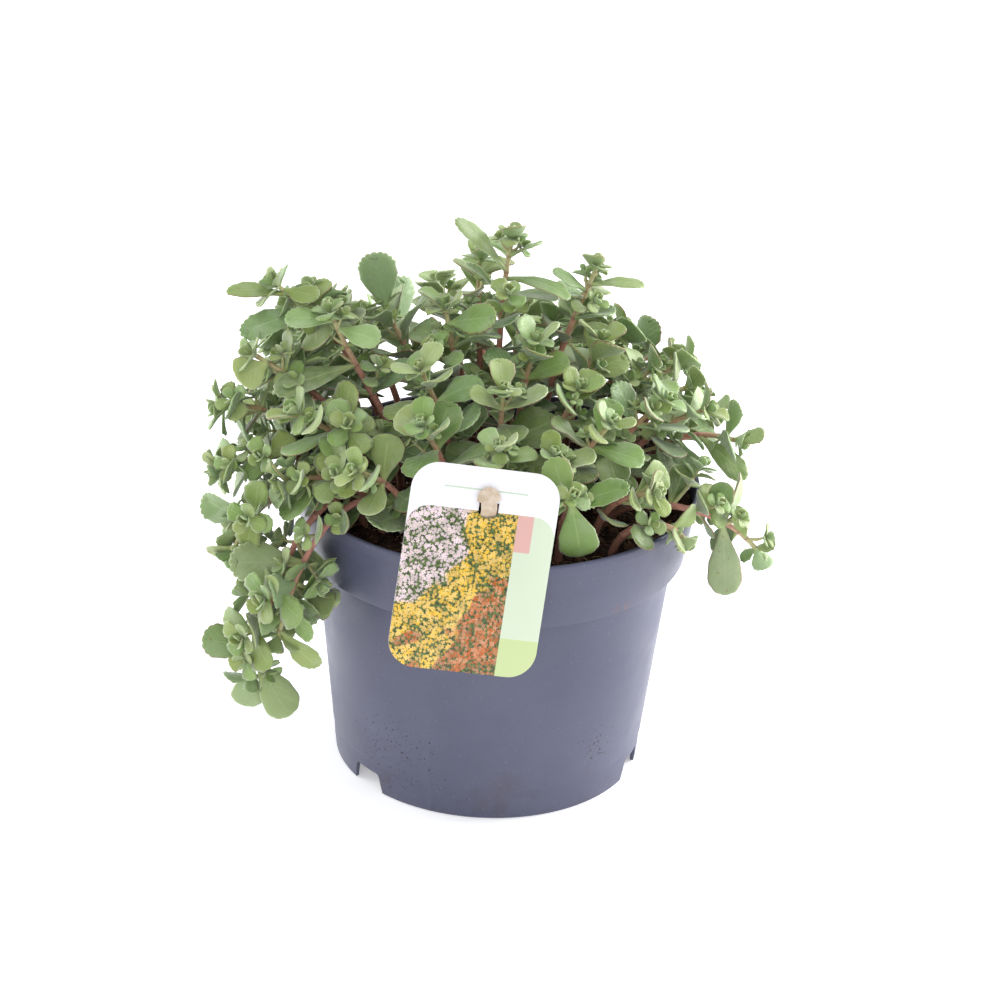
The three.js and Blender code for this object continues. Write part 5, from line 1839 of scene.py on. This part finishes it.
    def young_pair(
        self, shoot: Shoot, point: Array, way: Array, draw: Draw, length: float, spread: float, turn: float
    ) -> None:
        """Adds two leaves that face each other across a growing tip.

        Args:
            shoot: the shoot that they belong to.
            point: where they grow.
            way: the way that the tip grows.
            draw: the row of drawn numbers.
            length: how long they are.
            spread: their angle off the tip, in degrees.
            turn: their turn round it, in degrees.
        """
        across = unit(np.cross(way, shoot.side + np.array([0.01, 0.02, 0.03])))
        up = np.cross(way, across)
        for half in range(2):
            a = math.radians(turn + 180 * half + draw.within(-self.YOUNG_TURN, self.YOUNG_TURN))
            off = math.radians(spread + draw.within(-self.YOUNG_TILT, self.YOUNG_TILT))
            out = across * math.cos(a) + up * math.sin(a)
            size = shoot.bulk * length * draw.within(*self.YOUNG_LENGTH)
            leaf = Leaf(point, size, 0, 0, 0, blade=Blade.YOUNG)
            leaf.width = leaf.length * draw.within(*self.YOUNG_WIDTH)
            opened = spread > self.OPEN_SPREAD
            leaf.curl = draw.within(*self.OPEN_CURL) if opened else -draw.within(*self.SHUT_CURL)
            leaf.fold = draw.within(*self.YOUNG_FOLD)
            leaf.way = unit(way * math.cos(off) + out * math.sin(off))
            leaf.across = unit(np.cross(leaf.way, way))
            leaf.face = np.cross(leaf.across, leaf.way)
            leaf.age = max(0.0, 0.04 + length * 0.022 + draw.within(-0.08, 0.12))
            leaf.shade = draw.within(0.0, 1.0)
            leaf.harm = draw.within(0.0, 0.7)
            leaf.thick = self.YOUNG_THICK
            shoot.leaves.append(leaf)

    def rosette(self, shoot: Shoot, point: Array, way: Array, draw: Draw, size: float, pairs: int) -> None:
        """Adds crossed pairs of young leaves that close over a growing tip.

        Args:
            shoot: the shoot that they belong to.
            point: where they grow.
            way: the way that the tip grows.
            draw: the row of drawn numbers.
            size: the length of the outermost ones.
            pairs: how many pairs.
        """
        start = draw.within(0, 90)
        for k in range(pairs):
            foot, length = point + way * (self.TIP_RISE * k), size * self.TIP_SHRINK ** k
            spread = self.TIP_SPREAD - self.TIP_CLOSING * k
            self.young_pair(shoot, foot, way, draw, length, spread, start + 90 * k)

    def build(self) -> None:
        """Makes the stems and leaves of every shoot and settles them on the frame."""
        blades = BladeShapes()
        leaf_tree = LeafTree.build("leaf_blades")
        stem_tree = StemTree.build("stem_tubes")
        flesh = LeafFlesh().build()
        bark = StemBark().build()
        for n, shoot in enumerate(self.shoots):
            node = f"leafy_shoot_{n + 1:02d}"
            stems = run_tree(
                f"stems_{n + 1:02d}", self.stem_lines(shoot, n), stem_tree, Sides=10, Finish=bark,
            )
            settle(stems, "stem", node)
            leaves = run_tree(
                f"leaves_{n + 1:02d}", self.leaf_anchors(shoot), leaf_tree,
                Blades=blades.collection, Ruffle=0.0009, Finish=flesh,
            )
            settle(leaves, "leaf", node)
        blades.remove()

    @staticmethod
    def leaf_anchors(shoot: Shoot) -> bpy.types.Mesh:
        """One point for each leaf, which carries the leaf's place, bend and colour."""
        leaves = shoot.leaves
        rows: dict[str, Any] = {
            "base": [leaf.base * MM for leaf in leaves],
            "way": [leaf.way for leaf in leaves],
            "face": [leaf.face for leaf in leaves],
            "across": [leaf.across for leaf in leaves],
            "bend": [(leaf.curl, leaf.fold, leaf.thick * MM) for leaf in leaves],
            "size": [(leaf.length * MM, leaf.width / 2 * MM, leaf.shade * 40) for leaf in leaves],
            "tone": [(leaf.age, leaf.shade, leaf.harm) for leaf in leaves],
            "kind": [BladeShapes.index(leaf) for leaf in leaves],
        }
        return plain_mesh("leaf_anchors", np.zeros((len(leaves), 3)), [], rows)

    @classmethod
    def stem_lines(cls, shoot: Shoot, n: int) -> bpy.types.Mesh:
        """The lines of a stem and its twigs, with their girth and colour.

        Args:
            shoot: the shoot.
            n: its place in the row of shoots.

        Returns:
            The mesh of edges, with the girth and the bark's values on its points.
        """
        marks = sorted(node["distance"] for node in shoot.nodes)
        stations = set(np.arange(0.0, shoot.length, cls.STEP).tolist()) | {shoot.length}
        for mark in marks:
            around = [mark + step for step in cls.ABOUT_NODE]
            stations |= {station for station in around if 0 < station < shoot.length}
        ordered = [0.0]
        for station in sorted(stations):
            if station - ordered[-1] > cls.LEAST_STEP:
                ordered.append(station)
        root, down = shoot.place(0.0)
        points, girth, bark = [root - down * cls.SUNK], [shoot.ROOT], [(0.0, 0.0, 0.5)]
        own = Draw(cls.BARK_SEED + n).within(0.0, 1.0)
        for station in ordered:
            near = min((abs(station - mark) for mark in marks), default=9.0)
            swell = math.exp(-((near / cls.SWELL_REACH) ** 2))
            points.append(shoot.place(station)[0])
            girth.append(shoot.radius(station) * (0.98 + cls.SWELL * swell))
            scar = math.exp(-((near / cls.SCAR_REACH) ** 2))
            bark.append((station / shoot.length, scar, own))
        end, tangent = shoot.place(shoot.length)
        points.append(end + tangent * 1.0)
        girth.append(cls.TIP_GIRTH)
        bark.append((1.0, 0.0, own))
        edges = [(i, i + 1) for i in range(len(points) - 1)]
        for marks in shoot.twigs:
            start = len(points)
            for point, thick in zip(marks, cls.TWIG_GIRTHS):
                points.append(point)
                girth.append(thick)
                bark.append((1.0, 0.0, own))
            edges += [(start, start + 1), (start + 1, start + 2)]
        values = {"girth": np.array(girth) * MM, "bark": bark}
        return plain_mesh("stem_lines", np.array(points), edges, values)


class BladeShapes:
    """Flat leaf blades with rounded teeth, in shares of their length and half width."""

    RIBS = {Blade.GROWN: (0.0, 0.32, 0.68, 0.92, 1.0), Blade.YOUNG: (0.0, 0.62, 1.0)}
    FEET = {Blade.GROWN: (0.0, 0.12, 0.26, 0.4, 0.54), Blade.YOUNG: (0.0, 0.22, 0.44)}
    EDGES = {
        Blade.GROWN: ((0.66, 3.5, 0.055), (0.7, 2.5, 0.03), (0.63, 4.5, 0.07), (0.68, 3.5, 0.045)),
        Blade.YOUNG: ((0.62, 2.5, 0.11), (0.58, 2.5, 0.11)),
    }
    VARIANTS = {kind: len(edges) for kind, edges in EDGES.items()}
    STALK, FIRST_TURN = 0.11, 12
    STALK_END, SPINE_END = 0.12, 0.93
    PLUMP, STALK_PLUMP, GROOVE, GROOVE_FROM = 0.55, 0.8, 0.1, 0.1
    SMALL = 9

    def __init__(self) -> None:
        """Makes every blade in a collection of its own."""
        self.collection = bpy.data.collections.new("blade_shapes")
        self.objects = []
        for kind, count in self.VARIANTS.items():
            for variant in range(count):
                mesh = self.blade(kind, variant)
                shape = bpy.data.objects.new(f"blade_{len(self.objects):02d}", mesh)
                self.collection.objects.link(shape)
                self.objects.append(shape)

    @classmethod
    def index(cls, leaf: Leaf) -> float:
        """The number of the blade that a leaf uses."""
        if leaf.blade is Blade.YOUNG or leaf.length < cls.SMALL:
            return float(cls.VARIANTS[Blade.GROWN] + int(leaf.shade * 17) % cls.VARIANTS[Blade.YOUNG])
        return float(int(leaf.shade * 97) % cls.VARIANTS[Blade.GROWN])

    @staticmethod
    def margin(kind: Blade, variant: int) -> list[tuple[float, float]]:
        """The blade's edge on one side, from the foot of the stalk to the tip.

        Args:
            kind: grown or young.
            variant: which one of that kind.

        Returns:
            Shares of the length and of the half width.
        """
        grown = kind is Blade.GROWN
        widest, teeth, depth = BladeShapes.EDGES[kind][variant]
        feet = BladeShapes.FEET[kind]
        found = []
        for x in feet:
            share = x / widest
            swell = math.sin(math.pi / 2 * share ** 1.6)
            found.append((x, BladeShapes.STALK + (1 - BladeShapes.STALK) * swell))
        steps = round(teeth * (4 if grown else 3))
        start = math.radians(BladeShapes.FIRST_TURN)
        for i in range(steps + 1):
            share = i / steps
            turn = start + (math.pi / 2 - start) * share
            tooth = abs(math.cos(math.pi * teeth * (1 - share)))
            reach = 1 - depth * (1 - tooth ** 0.7)
            x = widest + (1 - widest) * math.sin(turn) ** 1.05 * reach
            y = math.cos(turn) ** 0.85 * (reach + 0.02) if i < steps else 0.0
            found.append((min(x, 1.0), y))
        return found

    def blade(self, kind: Blade, variant: int) -> bpy.types.Mesh:
        """Makes one closed blade: ribs run from the midrib to the edge on both faces."""
        margin = self.margin(kind, variant)
        ribs = self.RIBS[kind]
        count = len(margin)
        points: list[tuple[float, float, float]] = []
        edge: list[float] = []
        sides: list[float] = []
        table: dict[tuple, int] = {}

        def spot(row: int, rib: int, hand: int, face: Side) -> int:
            """The number of a point, made when first asked for."""
            outer = rib == len(ribs) - 1
            key = (row, rib, 0 if rib == 0 or row == count - 1 else hand, None if outer else face)
            if key not in table:
                mx, my = margin[row]
                spine = self.SPINE_END * mx if row < count - 1 else self.SPINE_END
                s = ribs[rib]
                x, y = spine + (mx - spine) * s, my * s * hand
                plump = (1 - s ** 5) ** 0.8 * (self.PLUMP if mx > self.STALK_END else self.STALK_PLUMP)
                grooved = face is Side.UPPER and rib == 0 and mx > self.GROOVE_FROM
                groove = self.GROOVE if grooved else 0.0
                z = 0.0 if outer else face.value * (plump - groove)
                table[key] = len(points)
                points.append((x, y, z))
                edge.append(s)
                sides.append(0.0 if outer else face.value)
            return table[key]

        faces: list[list[int]] = []
        for hand in (-1, 1):
            for face in Side:
                for row in range(count - 1):
                    for rib in range(len(ribs) - 1):
                        corners = [
                            spot(row, rib, hand, face), spot(row + 1, rib, hand, face),
                            spot(row + 1, rib + 1, hand, face), spot(row, rib + 1, hand, face),
                        ]
                        corners = list(dict.fromkeys(corners))
                        flip = (hand == 1) == (face is Side.UPPER)
                        if len(corners) >= 3:
                            faces.append(corners[::-1] if flip else corners)
            foot = [spot(0, rib, hand, Side.UPPER) for rib in range(len(ribs))]
            foot += [spot(0, rib, hand, Side.LOWER) for rib in range(len(ribs) - 2, -1, -1)]
            faces.append(foot if hand == 1 else foot[::-1])
        rows = np.array(points)
        values = {"blade": np.column_stack([rows[:, :2], edge]), "side": sides}
        mesh = plain_mesh("blade", rows / MM, faces, values)
        face_outwards(mesh)
        return mesh

    def remove(self) -> None:
        """Takes the flat blades away again."""
        for shape in self.objects:
            bpy.data.objects.remove(shape)
        bpy.data.collections.remove(self.collection)


class LeafTree:
    """Sets a blade at every anchor and bends it as the anchor says."""

    @staticmethod
    def build(name: str) -> bpy.types.NodeTree:
        """Makes the tree.

        Args:
            name: the tree's name.

        Returns:
            The tree, with inputs for the flat blades, the ruffle of their edges and the finish.
        """
        g = GrowthTree(name, Blades=bpy.types.Collection, Ruffle=float, Finish=bpy.types.Material)
        given = g.given
        flat = g.add("GeometryNodeCollectionInfo", {
            "Collection": given["Blades"], "Separate Children": True, "Reset Children": True,
        }).outputs[0]
        placed = g.add("GeometryNodeInstanceOnPoints", {
            "Points": given["Mesh"], "Instance": flat, "Pick Instance": True,
            "Instance Index": g.named("kind"),
        }).outputs[0]
        real = g.add("GeometryNodeRealizeInstances", {"Geometry": placed}).outputs[0]
        plan = g.split(g.add("GeometryNodeInputPosition").outputs[0])
        curl, fold, thick = g.split(g.named("bend", "FLOAT_VECTOR"))
        length, half, seed = g.split(g.named("size", "FLOAT_VECTOR"))
        own = g.add("ShaderNodeCombineXYZ", {0: plan[0], 1: g.times(plan[1], 0.6), 2: seed})
        wave = g.noise(own.outputs[0], 2.3, 1.0)
        loose = g.times(g.minus(wave, 0.5), g.times(plan[1], plan[1]))
        share = g.math("DIVIDE", length, 0.02)
        ruffle = g.times(loose, share, g.times(given["Ruffle"], 4.0))
        folded = g.times(fold, half, g.times(plan[1], plan[1]))
        raised = g.plus(g.plus(folded, ruffle), g.times(plan[2], thick))
        angle = g.times(curl, plan[0])
        sine, cosine = g.math("SINE", angle), g.math("COSINE", angle)
        reach = g.math("DIVIDE", length, curl)
        forth = g.plus(g.times(sine, reach), g.times(sine, raised))
        drop = g.times(g.minus(cosine, 1.0), reach)
        down = g.plus(drop, g.times(cosine, raised))
        place = g.named("base", "FLOAT_VECTOR")
        for line, amount in (("way", forth), ("face", down), ("across", g.times(plan[1], half))):
            place = g.vector("ADD", place, g.scaled(g.named(line, "FLOAT_VECTOR"), amount))
        moved = g.add("GeometryNodeSetPosition", {"Geometry": real, "Position": place})
        return g.close(moved.outputs[0], given["Finish"])


class StemTree:
    """Draws a round tube along every line, as thick as the line says."""

    @staticmethod
    def build(name: str) -> bpy.types.NodeTree:
        """Makes the tree.

        Args:
            name: the tree's name.

        Returns:
            The tree, with inputs for the sides of the tube and the finish.
        """
        g = GrowthTree(name, Sides=int, Finish=bpy.types.Material)
        lines = g.add("GeometryNodeMeshToCurve", {"Mesh": g.given["Mesh"]}).outputs[0]
        ring = g.add("GeometryNodeCurvePrimitiveCircle", {"Resolution": g.given["Sides"], "Radius": 1.0})
        tube = g.add("GeometryNodeCurveToMesh", {
            "Curve": lines, "Profile Curve": ring.outputs[0], "Scale": g.named("girth"),
            "Fill Caps": True,
        }).outputs[0]
        return g.close(tube, g.given["Finish"])


# Stage


@dataclass(frozen=True)
class Lamp:
    """A soft square lamp: its place and side in metres, and its power in watts."""

    AIM = (0.0, 0.0, 0.13)

    name: str
    place: tuple[float, float, float]
    size: float
    power: float

    def hang(self) -> None:
        """Hangs the lamp so that it looks at the plant."""
        light = bpy.data.lights.new(self.name, "AREA")
        light.shape = "SQUARE"
        light.size = self.size
        light.energy = self.power
        lamp = bpy.data.objects.new(self.name, light)
        lamp.location = self.place
        aim = Vector(self.AIM) - Vector(self.place)
        lamp.rotation_euler = aim.to_track_quat("-Z", "Y").to_euler()
        bpy.context.scene.collection.objects.link(lamp)


@dataclass
class Studio:
    """The pale floor, the soft light and the camera."""

    distance: float = 1320.85
    height: float = 772.68
    tilt: float = 0.4611
    pan: float = 0.0012
    roll: float = 0.0437
    focal: float = 3.5135
    sensor: float = 36.0
    nearest: float = 0.05
    floor_half: float = 3e4
    floor_level: float = -0.2
    floor_glow: float = 0.35
    sky: float = 0.75
    lamps: tuple[Lamp, ...] = (
        Lamp("over", (0.1, 0.25, 1.5), 1.2, 8.5),
        Lamp("right_back", (1.1, 0.45, 0.35), 0.8, 24.0),
        Lamp("left_back", (-1.2, 0.4, 0.4), 0.8, 11.0),
        Lamp("front", (-0.3, -1.6, 1.0), 1.2, 7.0),
    )

    def camera(self) -> None:
        """Sets the camera at the photograph's angle."""
        st, ct = math.sin(self.tilt), math.cos(self.tilt)
        ahead = Vector((math.sin(self.pan) * ct, math.cos(self.pan) * ct, -st))
        right = ahead.cross(Vector((0, 0, 1))).normalized()
        up = right.cross(ahead)
        c, s = math.cos(self.roll), math.sin(self.roll)
        x, y = right * c + up * s, up * c - right * s
        lens = bpy.data.cameras.new("camera")
        lens.sensor_width = self.sensor
        lens.lens = self.focal * self.sensor
        lens.clip_start = self.nearest
        view = bpy.data.objects.new("camera", lens)
        view.matrix_world = Matrix((
            (x[0], y[0], -ahead[0], 0.0), (x[1], y[1], -ahead[1], -self.distance * MM),
            (x[2], y[2], -ahead[2], self.height * MM), (0, 0, 0, 1),
        ))
        bpy.context.scene.collection.objects.link(view)
        bpy.context.scene.camera = view

    def floor(self) -> None:
        """Lays the pale floor."""
        half, level = self.floor_half, self.floor_level
        corners = [(x * half, y * half, level) for x, y in ((-1, -1), (1, -1), (1, 1), (-1, 1))]
        mesh = plain_mesh("floor", np.array(corners), [(0, 1, 2, 3)])
        s = Surface("pale_floor", Roughness=0.9, Emission_Strength=self.floor_glow)
        s.shader.inputs["Emission Color"].default_value = colour(255, 255, 255)
        s.shader.inputs["Base Color"].default_value = colour(246, 246, 248)
        piece_of("floor", mesh, s.material)

    def build(self) -> None:
        """Sets the stage."""
        self.camera()
        self.floor()
        world = bpy.data.worlds.new("studio")
        world.use_nodes = True
        backdrop = world.node_tree.nodes["Background"]
        backdrop.inputs["Color"].default_value = colour(250, 251, 255)
        backdrop.inputs["Strength"].default_value = self.sky
        bpy.context.scene.world = world
        for lamp in self.lamps:
            lamp.hang()
        bpy.context.scene.view_settings.view_transform = "Standard"


def main() -> None:
    """Builds every part in order."""
    logging.basicConfig(level=logging.INFO, format="%(message)s")
    Studio().build()
    pot = Pot()
    pot.build()
    soil = Soil(pot)
    soil.build_body()
    LoosePieces(soil).build()
    label = Label()
    label.card()
    label.stake()
    plant = Plant(pot, soil, label)
    plant.lay_out()
    plant.colour_leaves()
    LOG.info("layout: %d leaves", sum(len(s.leaves) for s in plant.shoots))
    plant.add_fine_growth()
    LOG.info("with fine growth: %d leaves", sum(len(s.leaves) for s in plant.shoots))
    plant.build()


if __name__ == "__main__":
    main()
